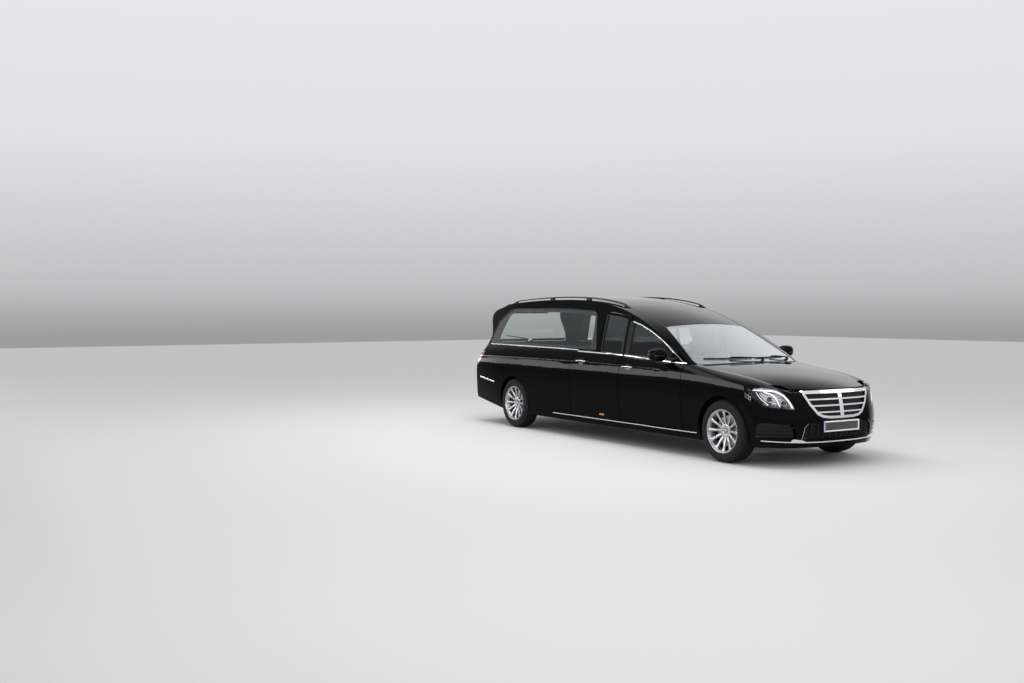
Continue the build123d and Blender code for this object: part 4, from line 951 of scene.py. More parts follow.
def make_bumper():
    lip = [(-0.52, 0.266), (-0.3, 0.262), (0.0, 0.262), (0.3, 0.262), (0.52, 0.266)]
    add("lip_strip", bar_on(nose, lip, bar_outline(0.015, 0.007, 0.004)), "chrome")
    side_lip = [(0.515, 0.266), (0.6, 0.268), (0.7, 0.272), (0.82, 0.278)]
    both_sides("side_lip_strip", bar_on(nose, side_lip, bar_outline(0.012, 0.006, 0.004)), "chrome")
    liner = [(-0.0015, -0.001), (0.0015, -0.001), (0.0015, 0.031), (-0.0015, 0.031)]
    both_sides("intake_liner", bar_on(nose, [(0.4965, 0.3), (0.478, 0.418), (0.44, 0.458)], liner, 0.01), "chrome")
    fin_edge = [(0.6, 0.262), (0.5, 0.262), (0.44, 0.268), (0.5, 0.29), (0.585, 0.3), (0.6, 0.285)]
    both_sides("lip_fin", patch(nose, fin_edge, 0.004, 0.006, 0.012), "chrome")
    fin = [(-0.004, -0.003), (0.004, -0.003), (0.003, 0.02), (-0.003, 0.02)]
    fins = [bar_on(nose, [(0.585, z), (0.845, z + 0.004)], fin) for z in (0.338, 0.378, 0.418)]
    both_sides("intake_fins", join(*fins), "gloss_black")
    bars = [bar_on(nose, [(-0.47, z), (0.47, z)], fin, 0.04) for z in (0.312 + 0.022 * i for i in range(7))]
    posts = [bar_on(nose, [(y, 0.298), (y, 0.455)], fin) for y in (0.08 * i for i in range(-5, 6))]
    add("intake_lattice", join(*bars, *posts), "black_plastic")
    right = [(0.49, 0.295), (0.475, 0.42), (0.435, 0.458), (0.285, 0.466), (0.276, 0.504)]
    floor = [(-0.49, 0.295), *right, *((-y, z) for y, z in reversed(right[1:]))]
    add("intake_floor", patch(nose, floor, 0.001, 0.003, 0.04), "black_plastic")
    side_floor = [(0.583, 0.308), (0.572, 0.342), (0.608, 0.446), (0.815, 0.462), (0.842, 0.436), (0.842, 0.308)]
    both_sides("side_intake_floor", patch(nose, side_floor, 0.001, 0.003), "black_plastic")


def number_plate(name, middle, out, body=BODY):
    """A blank plate of 520 by 111 mm: a dark face inside a pale edge, with a narrow band at one end."""
    for label, low, high, bevel, steps, finish in (
        ("plinth", (-0.034, -0.262, -0.058), (0.0, 0.262, 0.058), 0.006, 3, "black_plastic"),
        ("edge", (0.0, -0.26, -0.0555), (0.004, 0.26, 0.0555), 0.0015, 2, "plate_edge"),
        ("face", (0.002, -0.238, -0.0415), (0.0055, 0.24, 0.0415), 0.001, 2, "plate_face"),
        ("band", (0.002, -0.255, -0.052), (0.0055, -0.243, 0.052), 0.0008, 2, "plate_band"),
    ):
        verts, faces = soft_box(low, high, bevel, steps)
        add(f"{name}_{label}", moved(([(out * x, y, z) for x, y, z in verts], faces), middle), finish, body)


def make_wipers():
    """Two arms and blades that lie along the foot of the screen."""
    look = Skin("windscreen", "scuttle_panel", "bonnet").top

    def base(y):
        return -0.455 - 0.2 * (y / 0.76) ** 2

    for name, pivot, start, end in (("right", 0.1, -0.62, -0.02), ("left", 0.6, 0.03, 0.56)):
        blade = [(base(y) - 0.016, y) for y in (start, (2 * start + end) / 3, (start + 2 * end) / 3, end)]
        rubber = bar_on(look, blade, WIPER_BLADE, 0.02, True)
        middle = (start + end) / 2
        half_way = (pivot + middle) / 2
        line = [(base(pivot) + 0.028, pivot), (base(half_way) + 0.006, half_way), (base(middle) - 0.014, middle)]
        points, normals = over_skin(look, stepped(line, 0.02, True))
        points = lifted(points, normals, 0.02, 0.006)
        arm = swept(points, normals, bar_outline(0.014, 0.008, 0.004))
        foot = points[0]
        boss = [(foot.x + 0.016 * math.cos(a), foot.y + 0.016 * math.sin(a)) for a in circle(20)]
        cap = slab(boss, lambda x, y: (x, y, foot.z - 0.03), lambda x, y: (x, y, foot.z + 0.009))
        add("wiper_" + name, join(rubber, arm, cap), "black_plastic")


make_headlamps()
make_grille_lattice()
make_bumper()
number_plate("front_plate", from_axle(0.826, 0.0, 0.42), 1.0)
make_wipers()


# Tail: lamps, bright strips, plate, handle, exhaust tips; and the black bands round the tall side windows
def make_tail_lamps():
    """A ribbed lens with a clear reversing window, an amber brow and lit lines."""
    lamp = Skin("tail_lamps")
    clear = [(0.672, 0.812), (0.672, 0.858), (0.812, 0.858), (0.838, 0.812)]
    both_sides("reversing_window", patch(lamp.tail, clear, 0.0008, 0.003, 0.01), "white_lens")
    brow = [(0.69, 0.984), (0.69, 1.018), (0.786, 1.018), (0.812, 0.984)]
    both_sides("turn_window", patch(lamp.tail, brow, 0.0008, 0.003, 0.01), "amber_lamp", slot="red_lamp")
    rib = bar_outline(0.005, 0.0022)
    lines, side_lines = [], []
    for z, back, front in ((0.884, -5.236, -5.17), (0.912, -5.216, -5.14), (0.94, -5.196, -5.115),
                           (0.968, -5.176, -5.09)):
        lines.append(bar_on(lamp.tail, [(0.682, z), (0.862, z)], rib, 0.01))
        side_lines.append(bar_on(lamp.side, [(back, z), (front, z)], rib))
    both_sides("tail_light_lines", join(*lines), "lit_red")
    both_sides("side_light_lines", join(*side_lines), "lit_red")


def make_tailgate():
    body = "tailgate"
    strip = [(-0.655, 0.788), (-0.3, 0.786), (0.3, 0.786), (0.655, 0.788)]
    add("tailgate_strip", bar_on(tail, strip, bar_outline(0.02, 0.009, 0.003)), "chrome", body)
    seal = [(-0.004, -0.004), (0.004, -0.004), (0.005, 0.0012), (0.0, 0.003), (-0.005, 0.0012)]
    window = [(0.0, 1.146), (0.643, 1.146), (0.543, 1.594), (0.0, 1.609), (-0.543, 1.594), (-0.643, 1.146)]
    add("rear_window_surround", seal_round(tail, window, seal, 0.03), "rubber_seal", body)
    glass_skin = Skin("tailgate_window").tail
    for name, low, high in (("low", 1.155, 1.19), ("high", 1.566, 1.598)):
        half = [0.636 - 0.2273 * (z - 1.15) for z in (low, high)]
        band = [(-half[0], low), (half[0], low), (half[1], high), (-half[1], high)]
        add(f"rear_glass_band_{name}", patch(glass_skin, band, 0.0008, 0.0026, 0.03), "gloss_black", body)
    brake = [(-0.17, 1.64), (0.17, 1.64), (0.165, 1.662), (-0.165, 1.662)]
    add("high_brake_lamp", patch(tail, brake, 0.003, 0.006, 0.012), "red_lamp", body)

    number_plate("rear_plate", tail(0.0, 0.69)[0] + Vector((-0.004, 0, 0)), -1.0, body)
    handle = tail(0.0, 0.77)[0]
    add("tailgate_grip", moved(soft_box((-0.022, -0.3, -0.01), (0.012, 0.3, 0.01), 0.006, 3), handle), "gloss_black",
        body)
    for side, y in (("right", -0.16), ("left", 0.16)):
        lamp = soft_box((-0.018, y - 0.03, -0.0135), (0.0, y + 0.03, -0.009), 0.0015, 2)
        add(f"plate_lamp_{side}", moved(lamp, handle), "white_lens", body)

    look = Skin("tailgate", "tailgate_window").tail
    points, normals = over_skin(look, stepped([(0.0, 1.12), (-0.1, 1.185), (-0.24, 1.215)], 0.02, True))
    stem = swept(lifted(points, normals, 0.012, 0.004), normals, bar_outline(0.012, 0.007, 0.005))
    blade_edge = [(-0.006, 0.005), (-0.001, 0.001), (0.001, 0.001), (0.006, 0.005), (0.004, 0.013), (-0.004, 0.013)]
    blade = bar_on(look, [(-0.05, 1.186), (-0.43, 1.24)], blade_edge)
    point, normal = look(0.0, 1.12)
    hub = lathe([(0.0003, -0.004), (0.022, -0.004), (0.021, 0.016), (0.014, 0.024), (0.0003, 0.026)], 28)
    add("rear_wiper", join(stem, blade, moved(hub, point, facing(normal))), "black_plastic", body)


def make_rear_bumper():
    corner = Skin("rear_bumper", "body_side_left").side
    # A chrome strip as painted highlight: it stands for the reflection along the top shoulder of the bumper's corner
    both_sides("bumper_shoulder_highlight", bar_on(corner, [(-5.12, 0.654), (-4.9, 0.628), (-4.7, 0.602)],
                                      bar_outline(0.02, 0.005), 0.03), "chrome")
    add("bumper_skirt", patch(tail, [(-0.56, 0.392), (0.56, 0.392), (0.52, 0.462), (-0.52, 0.462)], 0.002, 0.004,
                              0.03), "black_plastic")
    add("bumper_strip", bar_on(tail, [(-0.6, 0.474), (0.6, 0.474)], bar_outline(0.012, 0.006, 0.003)), "chrome")
    glow = [(0.66, 0.52), (0.8, 0.52), (0.8, 0.552), (0.66, 0.552)]
    both_sides("bumper_reflector", patch(tail, glow, 0.003, 0.005, 0.012), "deep_red_lamp")
    x = tail(0.4, 0.405)[0].x
    rings = [
        [(x + back, 0.4 + bulged(math.cos(a), 0.6) * (0.062 + grow), 0.392 + bulged(math.sin(a), 0.6) * (0.03 + grow))
         for a in circle(36)]
        for back, grow in ((0.1, 0.0), (-0.006, 0.004), (-0.01, 0.001), (-0.006, -0.004), (0.07, -0.007))
    ]
    both_sides("exhaust_tip", tube([*zip(*rings)], False), "chrome")


def make_window_bands():
    """Black bands on the inner edge of the tall side glass, and a thin seal round it."""
    look = Skin("side_window_left").side
    for name, outline in (
        ("back", [(-5.022, 1.152), (-4.945, 1.305), (-4.845, 1.455), (-4.686, 1.561), (-4.56, 1.608), (-4.44, 1.62),
                  (-4.44, 1.596), (-4.52, 1.578), (-4.585, 1.535), (-4.66, 1.42), (-4.79, 1.165)]),
        ("roof", [(-4.44, 1.62), (-3.438, 1.624), (-3.0, 1.615), (-2.56, 1.59), (-2.49, 1.56), (-2.53, 1.545),
                  (-3.0, 1.578), (-3.438, 1.588), (-4.0, 1.592), (-4.44, 1.59)]),
        ("front", [(-2.37, 1.14), (-2.485, 1.556), (-2.515, 1.556), (-2.405, 1.14)]),
        ("sill", [(-4.99, 1.152), (-2.38, 1.138), (-2.38, 1.156), (-4.8, 1.172), (-4.99, 1.172)]),
    ):
        both_sides(f"glass_band_{name}", patch(look, outline, -0.0058, 0.0012, 0.03), "black_plastic")
    edge = [(-2.356, 1.13), (-2.468, 1.552), (-2.54, 1.597), (-3.0, 1.624), (-3.438, 1.632), (-4.0, 1.632),
            (-4.43, 1.63),
            (-4.56, 1.618), (-4.69, 1.57), (-4.85, 1.463), (-4.95, 1.31), (-5.035, 1.146)]
    seal = [(-0.004, -0.005), (0.004, -0.005), (0.005, 0.001), (0.0, 0.0022), (-0.005, 0.001)]
    both_sides("side_window_seal", seal_round(left_side, spread(edge, (-3.7, 1.38)), seal, 0.04), "rubber_seal")
    above = Skin("roof", "windscreen", "body_side_left", "front_wing_left").top
    seam = [(-1.95, 0.6), (-1.6, 0.6), (-1.29, 0.6035), (-0.95, 0.683), (-0.625, 0.758), (-0.51, 0.747)]
    both_sides("screen_seam", bar_on(above, seam, bar_outline(0.009, 0.0018), 0.03), "rubber_seal")


make_tail_lamps()
make_tailgate()
make_rear_bumper()
make_window_bands()


# Cabin: padded seats, dash, steering wheel, door linings, console, carpets, and the long deck
SEAT_Y = 0.37
PAD_GRID, PAD_PRESSURE, PAD_FRAMES, PAD_BULGE = 0.012, 4.0, 20, 0.014
COLUMN = from_axle(-1.08, -SEAT_Y, 0.905)


def blown_up(size, bevel, form):
    """A pad in its own frame, long along X, wide along Y, thick along Z, rounded by cloth under pressure."""
    source = source_object("pad_source", pad_box(size, bevel, 4))
    even = source.modifiers.new("even", "REMESH")
    even.mode, even.voxel_size = "VOXEL", PAD_GRID
    mesh = evaluated(source)
    source.modifiers.remove(even)
    source.data = mesh
    for v in mesh.vertices:
        v.co = form(v.co)
    start = [v.co.copy() for v in mesh.vertices]
    cloth = source.modifiers.new("cloth", "CLOTH")
    cloth.settings.quality = 4
    cloth.settings.tension_stiffness = cloth.settings.compression_stiffness = 12.0
    cloth.settings.shear_stiffness = 4.0
    cloth.settings.use_pressure = True
    cloth.settings.uniform_pressure_force = PAD_PRESSURE
    cloth.settings.effector_weights.gravity = 0.0
    cloth.collision_settings.use_collision = False
    for number in range(1, PAD_FRAMES + 1):
        bpy.context.scene.frame_set(number)
    blown = evaluated(source)
    source.modifiers.remove(cloth)
    for v, new, old in zip(mesh.vertices, blown.vertices, start):
        step = new.co - old
        v.co = old + step * min(1.0, PAD_BULGE / max(step.length, 1e-6))
    bpy.context.scene.frame_set(1)
    rounder = source.modifiers.new("rounder", "SUBSURF")
    rounder.levels = rounder.render_levels = 1
    shape = shape_of(evaluated(source))
    bpy.data.objects.remove(source)
    return shape


def upholster(name, size, bevel, where, lean, taper=0.0, bolster=0.0, seams=(), paired=True, replaces=()):
    """A padded piece with sewn channels and piping; its length leans back from straight up by an angle."""
    length, width, _ = size

    def tapered(x, y):
        return y * (1 - taper * (x / length + 0.5))

    def form(co):
        rise = min(1.0, max(0.0, (abs(co.y) - width * 0.3) / (width * 0.1)))
        lift = bolster * rise * rise * (3 - 2 * rise) if co.z > 0 else 0.0
        return Vector((co.x, tapered(co.x, co.y), co.z + lift))

    verts, faces = blown_up(size, bevel, form)
    sewn = []
    for v in verts:
        deep = 0.0
        for axis, at, reach, sunk in seams:
            across, along = (v.x - at, v.y) if axis == "x" else (v.y - tapered(v.x, at), v.x)
            if abs(along) < reach:
                deep += sunk * min(1.0, (reach - abs(along)) / 0.02) * math.exp(-((across / 0.009) ** 2))
        sewn.append(Vector((v.x, v.y, v.z - min(deep, 0.016))) if v.z > 0 else v)
    skin = BVHTree.FromPolygons(sewn, faces)

    def look(u, v):
        point, normal, _, _ = skin.ray_cast(Vector((u, v, 1)), Vector((0, 0, -1)))
        return (point, normal) if point else None

    edge = []
    for a in circle(72):
        u = bulged(math.cos(a), 0.35) * (length / 2 - bevel * 0.55)
        v = bulged(math.sin(a), 0.35) * (width / 2 - bevel * 0.55)
        edge.append((u, tapered(u, v)))
    round_seam = [(0.0022 * math.cos(b), 0.0022 * math.sin(b) + 0.0004) for b in circle(8)]
    piping = swept(*over_skin(look, edge), round_seam, True)
    a = math.radians(lean)
    along, out = Vector((-math.sin(a), 0, math.cos(a))), Vector((math.cos(a), 0, math.sin(a)))
    turn = Matrix((along, out.cross(along), out)).transposed()
    for side in ("_left", "_right") if paired else ("",):
        for kind, shape in (("", (sewn, faces)), ("_piping", piping)):
            placed = moved(shape, from_axle(*where), turn)
            if side == "_right":
                placed = mirrored(placed)
            obj = add(name + kind + side, placed, "seat_leather", replaces=() if kind else replaces)
            not kind


def channels(across, reach_across, deep_across, along=(), reach_along=0.0, deep_along=0.0):
    """Sewn lines across a pad and along it, each with half its length and its depth."""
    lines = [("x", x, reach_across, deep_across) for x in across]
    return lines + [("y", side * y, reach_along, deep_along) for y in along for side in (-1, 1)]


def make_seats():
    sewn = channels((-0.135, -0.045, 0.045, 0.135), 0.15, 0.008, (0.155,), 0.21, 0.012)
    upholster("front_seat_cushion", (0.455, 0.48, 0.12), 0.045, (-1.402, SEAT_Y, 0.404), -90, 0.0, 0.014, sewn,
              replaces=("front_seats",))
    sewn = channels((-0.2, -0.12, -0.04, 0.04, 0.12), 0.14, 0.008, (0.15,), 0.25, 0.012)
    upholster("front_seat_back", (0.58, 0.48, 0.086), 0.038, (-1.768, SEAT_Y, 0.775), 14, 0.16, 0.012, sewn)
    upholster("front_headrest", (0.165, 0.24, 0.07), 0.032, (-1.857, SEAT_Y, 1.143), 8, 0.06, 0.0,
              channels((-0.03,), 0.1, 0.005))
    sewn = channels((-0.12, 0.0, 0.12), 0.6, 0.007, (0.21,), 0.2, 0.014)
    upholster("rear_seat_cushion", (0.44, 1.24, 0.13), 0.05, (-2.16, 0.0, 0.402), -90, 0.0, 0.0, sewn, False,
              ("rear_seat",))
    sewn = channels((-0.19, -0.1, -0.01, 0.08, 0.17), 0.58, 0.007, (0.21,), 0.25, 0.014)
    upholster("rear_seat_back", (0.575, 1.22, 0.08), 0.036, (-2.47, 0.0, 0.765), 9, 0.04, 0.0, sewn, False)
    plinth = axle_box((-1.6, SEAT_Y - 0.215, 0.238), (-1.215, SEAT_Y + 0.215, 0.345), 0.018, 4)
    both_sides("front_seat_base", plinth, "black_plastic")
    side = [(-1.19, 0.3), (-1.62, 0.3), (-1.735, 0.45), (-1.7, 0.49), (-1.6, 0.4), (-1.19, 0.385)]
    cover = slab(side, lambda x, z: from_axle(x, SEAT_Y + 0.236, z), lambda x, z: from_axle(x, SEAT_Y + 0.252, z))
    both_sides("front_seat_side", cover, "gloss_black")
    posts = [axle_bar([(-1.837, SEAT_Y + y, 1.02), (-1.852, SEAT_Y + y, 1.1)], 0.006, 14) for y in (-0.06, 0.06)]
    both_sides("headrest_posts", join(*posts), "chrome")
    add("rear_seat_base", axle_box((-2.41, -0.6, 0.238), (-1.965, 0.6, 0.345), 0.015, 3), "black_plastic")


def profile_bar(outline, near, far, soft=0.006):
    """A rounded bar across the car with a side-view outline."""
    middle = centre(outline)
    sections = []
    for y, shrink in ((near, 0.5), (near + soft * 0.3, 0.2), (near + soft, 0.0), (far - soft, 0.0),
                      (far - soft * 0.3, 0.2), (far, 0.5)):
        section = []
        for x, z in outline:
            dx, dz = middle[0] - x, middle[1] - z
            reach = max(math.hypot(dx, dz), 1e-6)
            section.append(from_axle(x + dx / reach * soft * shrink, y, z + dz / reach * soft * shrink))
        sections.append(section)
    return tube(sections)


def dash_strip(low, high):
    """The outline of a bright strip that leans with the face of the dash."""
    (foot, low), (head, high) = ((-0.975 + (0.9 - z) * 0.25, z) for z in (low, high))
    return [(head + 0.004, high), (head - 0.0035, high), (foot - 0.0035, low), (foot + 0.004, low)]


def make_dash():
    for name, outline, near, far, soft, finish, smooth in (
        ("dash_roll", [(-0.74, 0.985), (-0.76, 0.9985), (-0.86, 1.0), (-0.92, 0.996), (-0.955, 0.984), (-0.98, 0.962),
                       (-0.99, 0.936), (-0.988, 0.915), (-0.976, 0.905), (-0.955, 0.915), (-0.9, 0.95)],
         -0.676, 0.676, 0.016, "dash_skin", 60),
        ("dash_veneer", [(-0.9685, 0.862), (-0.974, 0.862), (-0.9665, 0.828), (-0.961, 0.828)], -0.672, 0.672, 0.004,
         "dash_veneer", 40),
        ("dash_strip_upper", dash_strip(0.868, 0.8725), -0.674, 0.674, 0.002, "chrome", 40),
        ("dash_strip_lower", dash_strip(0.8195, 0.824), -0.674, 0.674, 0.002, "chrome", 40),
        ("centre_stack", [(-0.93, 0.6), (-0.985, 0.6), (-1.005, 0.7), (-0.985, 0.815), (-0.95, 0.815)], -0.13, 0.13,
         0.01, "gloss_black", 40),
        ("glovebox_lid", [(-0.912, 0.665), (-0.924, 0.665), (-0.9565, 0.8), (-0.945, 0.8)], 0.165, 0.64, 0.005,
         "dash_skin", 40),
    ):
        add(name, profile_bar(outline, near, far, soft), finish, smooth=smooth)
    rims, blades = [], []
    for at in (from_axle(-0.976, y, 0.889) for y in (-0.6, -0.085, 0.085, 0.6)):
        rims.append(moved(soft_box((-0.014, -0.06, -0.0155), (0.006, 0.06, 0.0155), 0.005, 3), at))
        blades += [moved(soft_box((-0.0165, -0.053, z - 0.0014), (0.0, 0.053, z + 0.0014), 0.0006, 1), at)
                   for z in (-0.009, -0.003, 0.003, 0.009)]
    add("dash_vents", join(*rims), "gloss_black")
    add("dash_vent_blades", join(*blades), "chrome")
    for name, box, finish in (
        ("dash_screen_frame", soft_box((-0.01, -0.135, -0.06), (0.004, 0.135, 0.06), 0.006, 3), "gloss_black"),
        ("dash_screen", soft_box((-0.0118, -0.126, -0.052), (-0.006, 0.126, 0.052), 0.001, 1), "screen_glass"),
    ):
        add(name, moved(box, from_axle(-0.965, 0.0, 1.052), tilted(-12)), finish)

    def arch(x, wide, tall, z):
        return [from_axle(x, wide * math.cos(a) - SEAT_Y, z + tall * math.sin(a)) for a in circle(24, 0.5)]

    hood = [arch(x, wide, tall, 0.985) + arch(x, wide - wall, tall - wall, 0.982)[::-1] for x, wide, tall, wall in (
        (-0.84, 0.15, 0.03, 0.012), (-0.9, 0.16, 0.05, 0.012), (-0.96, 0.168, 0.064, 0.011),
        (-0.985, 0.17, 0.066, 0.007))]
    add("instrument_hood", tube(hood), "dash_skin", smooth=50)
    face = [(0.15 * math.cos(a) - SEAT_Y, 0.984 + 0.05 * math.sin(a)) for a in circle(24, 0.5)]
    face = slab(face, lambda y, z: from_axle(-0.925, y, z), lambda y, z: from_axle(-0.935, y, z))
    add("instrument_panel", face, "screen_glass")
    dial = lathe([(0.037, -0.002), (0.041, -0.002), (0.0415, 0.002), (0.039, 0.004), (0.037, 0.002)], 48)
    dials = [moved(dial, from_axle(-0.936, y - SEAT_Y, 0.99), tilted(90, "Z")) for y in (-0.075, 0.075)]
    add("dial_rings", join(*dials), "chrome")
    key = soft_box((-0.004, -0.0125, -0.008), (0.004, 0.0125, 0.008), 0.0025, 2)
    keys = [moved(key, from_axle(-0.9965, 0.03 * k - 0.105, 0.762), tilted(-10)) for k in range(8)]
    add("stack_keys", join(*keys), "chrome")
    add("glovebox_latch", axle_box((-0.9585, 0.355, 0.776), (-0.946, 0.445, 0.792)), "chrome")


def make_wheel():
    """The steering wheel: a thick rim, a soft boss and three spokes on its column."""
    tilt = math.radians(24)
    out = Vector((-math.cos(tilt), 0, math.sin(tilt)))
    across = Vector((0, 1, 0))
    turn = Matrix((across, out, -out.cross(across))).transposed()
    rim = []
    for a in circle(96):
        grip = 0.0145 + 0.0018 * math.exp(-((math.sin(a) - 0.35) / 0.16) ** 2)
        section = [(0.182 + grip * math.cos(b), grip * 0.95 * math.sin(b)) for b in circle(18)]
        rim.append([(r * math.cos(a), y, r * math.sin(a)) for r, y in section])
    boss = [
        [(bulged(math.cos(b), 0.8) * r * 1.12, y, bulged(math.sin(b), 0.8) * r * 0.86 - 0.006) for b in circle(48)]
        for y, r in ((-0.03, 0.04), (-0.02, 0.064), (0.004, 0.074), (0.018, 0.068), (0.027, 0.05), (0.03, 0.025))
    ]
    sections = [
        [(r, lift + thick * math.sin(b), wide * math.cos(b)) for b in circle(16)]
        for r, wide, thick, lift in (
            (0.05, 0.026, 0.012, 0.008), (0.09, 0.022, 0.009, 0.006), (0.13, 0.018, 0.007, 0.003),
            (0.174, 0.024, 0.006, 0.0))
    ]
    spokes = [moved(tube(sections), turn=tilted(-angle)) for angle in (0, 180, 270)]
    column = lathe([(0.0003, -0.165), (0.0185, -0.165), (0.0185, -0.028), (0.0003, -0.028)], 32)
    button = pad_box((0.052, 0.006, 0.011), 0.002)
    buttons = [moved(button, (x, 0.0155, z)) for x in (-0.108, 0.108) for z in (-0.01, 0.01)]
    shroud = lathe([(0.024, -0.15), (0.044, -0.15), (0.05, -0.11), (0.046, -0.052), (0.04, -0.044), (0.024, -0.044)],
                   40)
    stalks = [
        round_bar([(side * 0.04, -0.07, 0.0), (side * 0.085, -0.068, 0.006), (side * 0.14, -0.06, 0.01)],
                  [0.006, 0.0055, 0.008], 14)
        for side in (-1, 1)
    ]
    for name, shape, finish, body, smooth, gone in (
        ("wheel_rim", tube(rim, False), "wheel_leather", "steering_wheel", 60, ("steering_wheel",)),
        ("wheel_boss", tube(boss), "wheel_leather", "steering_wheel", 60, ()),
        ("wheel_spokes", join(*spokes), "gloss_black", "steering_wheel", 60, ()),
        ("wheel_column", column, "dark_steel", "steering_wheel", 40, ()),
        ("wheel_buttons", join(*buttons), "chrome", "steering_wheel", 40, ()),
        ("column_shroud", shroud, "black_plastic", BODY, 40, ()),
        ("column_stalks", join(*stalks), "black_plastic", BODY, 40, ()),
    ):
        add(name, moved(shape, COLUMN, turn), finish, body, smooth=smooth, replaces=gone)


def make_doors():
    """Door linings with an armrest, a pull, a speaker and a wood strip."""
    rest = [(-0.026, -0.002), (0.03, -0.002), (0.034, 0.03), (0.03, 0.05), (0.018, 0.058), (-0.012, 0.058),
            (-0.024, 0.05), (-0.028, 0.03)]
    cone = lathe([(0.0003, 0.004), (0.07, 0.004), (0.078, 0.007), (0.08, 0.004), (0.08, 0.0), (0.0003, 0.0)], 48)
    for name, low, high, belt in (("front", -1.7, -0.76, (1.052, 1.0)), ("rear", -2.64, -1.85, (1.07, 1.062))):
        body = f"{name}_door_left"
        look = Skin(body).lining
        lining = [(low, belt[0]), (high, belt[1]), (high, 0.62), (high - 0.06, 0.345), (low + 0.04, 0.345),
                  (low, 0.62)]
        insert = [(low + 0.05, 0.9), (high - 0.07, 0.885), (high - 0.09, 0.66), (low + 0.06, 0.66)]
        veneer = [(low + 0.03, 0.945), (high - 0.05, 0.93)]
        armrest = [(low + 0.06, 0.615), (high - 0.22, 0.6)]
        point, normal = look((low + high) / 2 + 0.17, 0.735)
        pull = [
            point + Vector((0.075 * math.cos(a), 0, 0.004)) + normal * (0.01 + 0.024 * math.sin(a))
            for a in circle(16, 0.5)
        ]
        point, normal = look(high - 0.2, 0.47)
        for label, shape, finish, smooth in (
            ("lining", patch(look, lining, 0.004, 0.006, 0.04), "dash_skin", 40),
            ("insert", patch(look, insert, lambda d: 0.006 + 0.006 * min(1.0, d / 0.02), 0.01, 0.014),
             "seat_leather", 40),
            ("veneer", bar_on(look, veneer, bar_outline(0.04, 0.012, 0.001, 0.8), 0.04), "dash_veneer", 40),
            ("armrest", bar_on(look, armrest, rest, 0.03), "seat_leather", 50),
            ("pull", round_bar(pull, 0.0065, 14), "chrome", 40),
            ("speaker", moved(cone, point, facing(normal)), "black_plastic", 40),
        ):
            both_sides(f"{name}_door_{label}", shape, finish, body, smooth=smooth)


def make_console():
    body = [(-0.99, 0.35), (-0.99, 0.6), (-1.05, 0.56), (-1.2, 0.52), (-1.34, 0.52), (-1.36, 0.585), (-1.62, 0.585),
            (-1.64, 0.56), (-1.64, 0.35)]
    add("console", profile_bar(body, -0.104, 0.104, 0.008), "black_plastic", smooth=30)
    lid = [(-1.055, 0.563), (-1.2, 0.524), (-1.335, 0.524), (-1.335, 0.528), (-1.2, 0.529), (-1.055, 0.569)]
    add("console_veneer", profile_bar(lid, -0.088, 0.088, 0.003), "dash_veneer")
    knob = lathe([(0.0003, -0.002), (0.016, -0.002), (0.013, 0.02), (0.019, 0.034), (0.021, 0.046), (0.015, 0.056),
                  (0.0003, 0.058)], 32)
    add("selector", moved(knob, from_axle(-1.12, 0.0, 0.548), tilted(90, "X")), "chrome")
    cup = lathe([(0.034, -0.004), (0.04, -0.004), (0.041, 0.002), (0.037, 0.004), (0.034, 0.001)], 40)
    cups = [moved(cup, from_axle(x, 0.0, 0.5275), tilted(90, "X")) for x in (-1.205, -1.29)]
    add("cup_rings", join(*cups), "chrome")
    upholster("console_armrest", (0.27, 0.196, 0.046), 0.02, (-1.492, 0.0, 0.607), -90, paired=False)


def make_floor():
    for name, low, high, bevel, steps in (
        ("floor_carpet", (-2.62, -0.8, 0.2365), (-0.725, 0.8, 0.2455), 0.003, 2),
        ("firewall_carpet", (-0.722, -0.78, 0.245), (-0.712, 0.78, 0.64), 0.003, 2),
        ("tunnel_carpet", (-1.62, -0.11, 0.24), (-0.72, 0.11, 0.356), 0.02, 4),
    ):
        add(name, axle_box(low, high, bevel, steps), "floor_carpet")
    mats = axle_box((-1.16, 0.17, 0.245), (-0.76, 0.6, 0.2525)), axle_box((-1.9, 0.14, 0.245), (-1.64, 0.62, 0.2525))
    both_sides("floor_mats", join(*mats), "floor_carpet")
    pedals = []
    for y, z in ((-0.3, 0.37), (-0.44, 0.38)):
        pedals.append(moved(soft_box((-0.008, -0.032, -0.042), (0.004, 0.032, 0.042), 0.004, 3),
                            from_axle(-0.86, y, z), tilted(-28)))
        pedals.append(axle_bar([(-0.855, y, z), (-0.82, y, z + 0.12), (-0.76, y, z + 0.25)], 0.007))
    add("pedals", join(*pedals), "dark_steel")


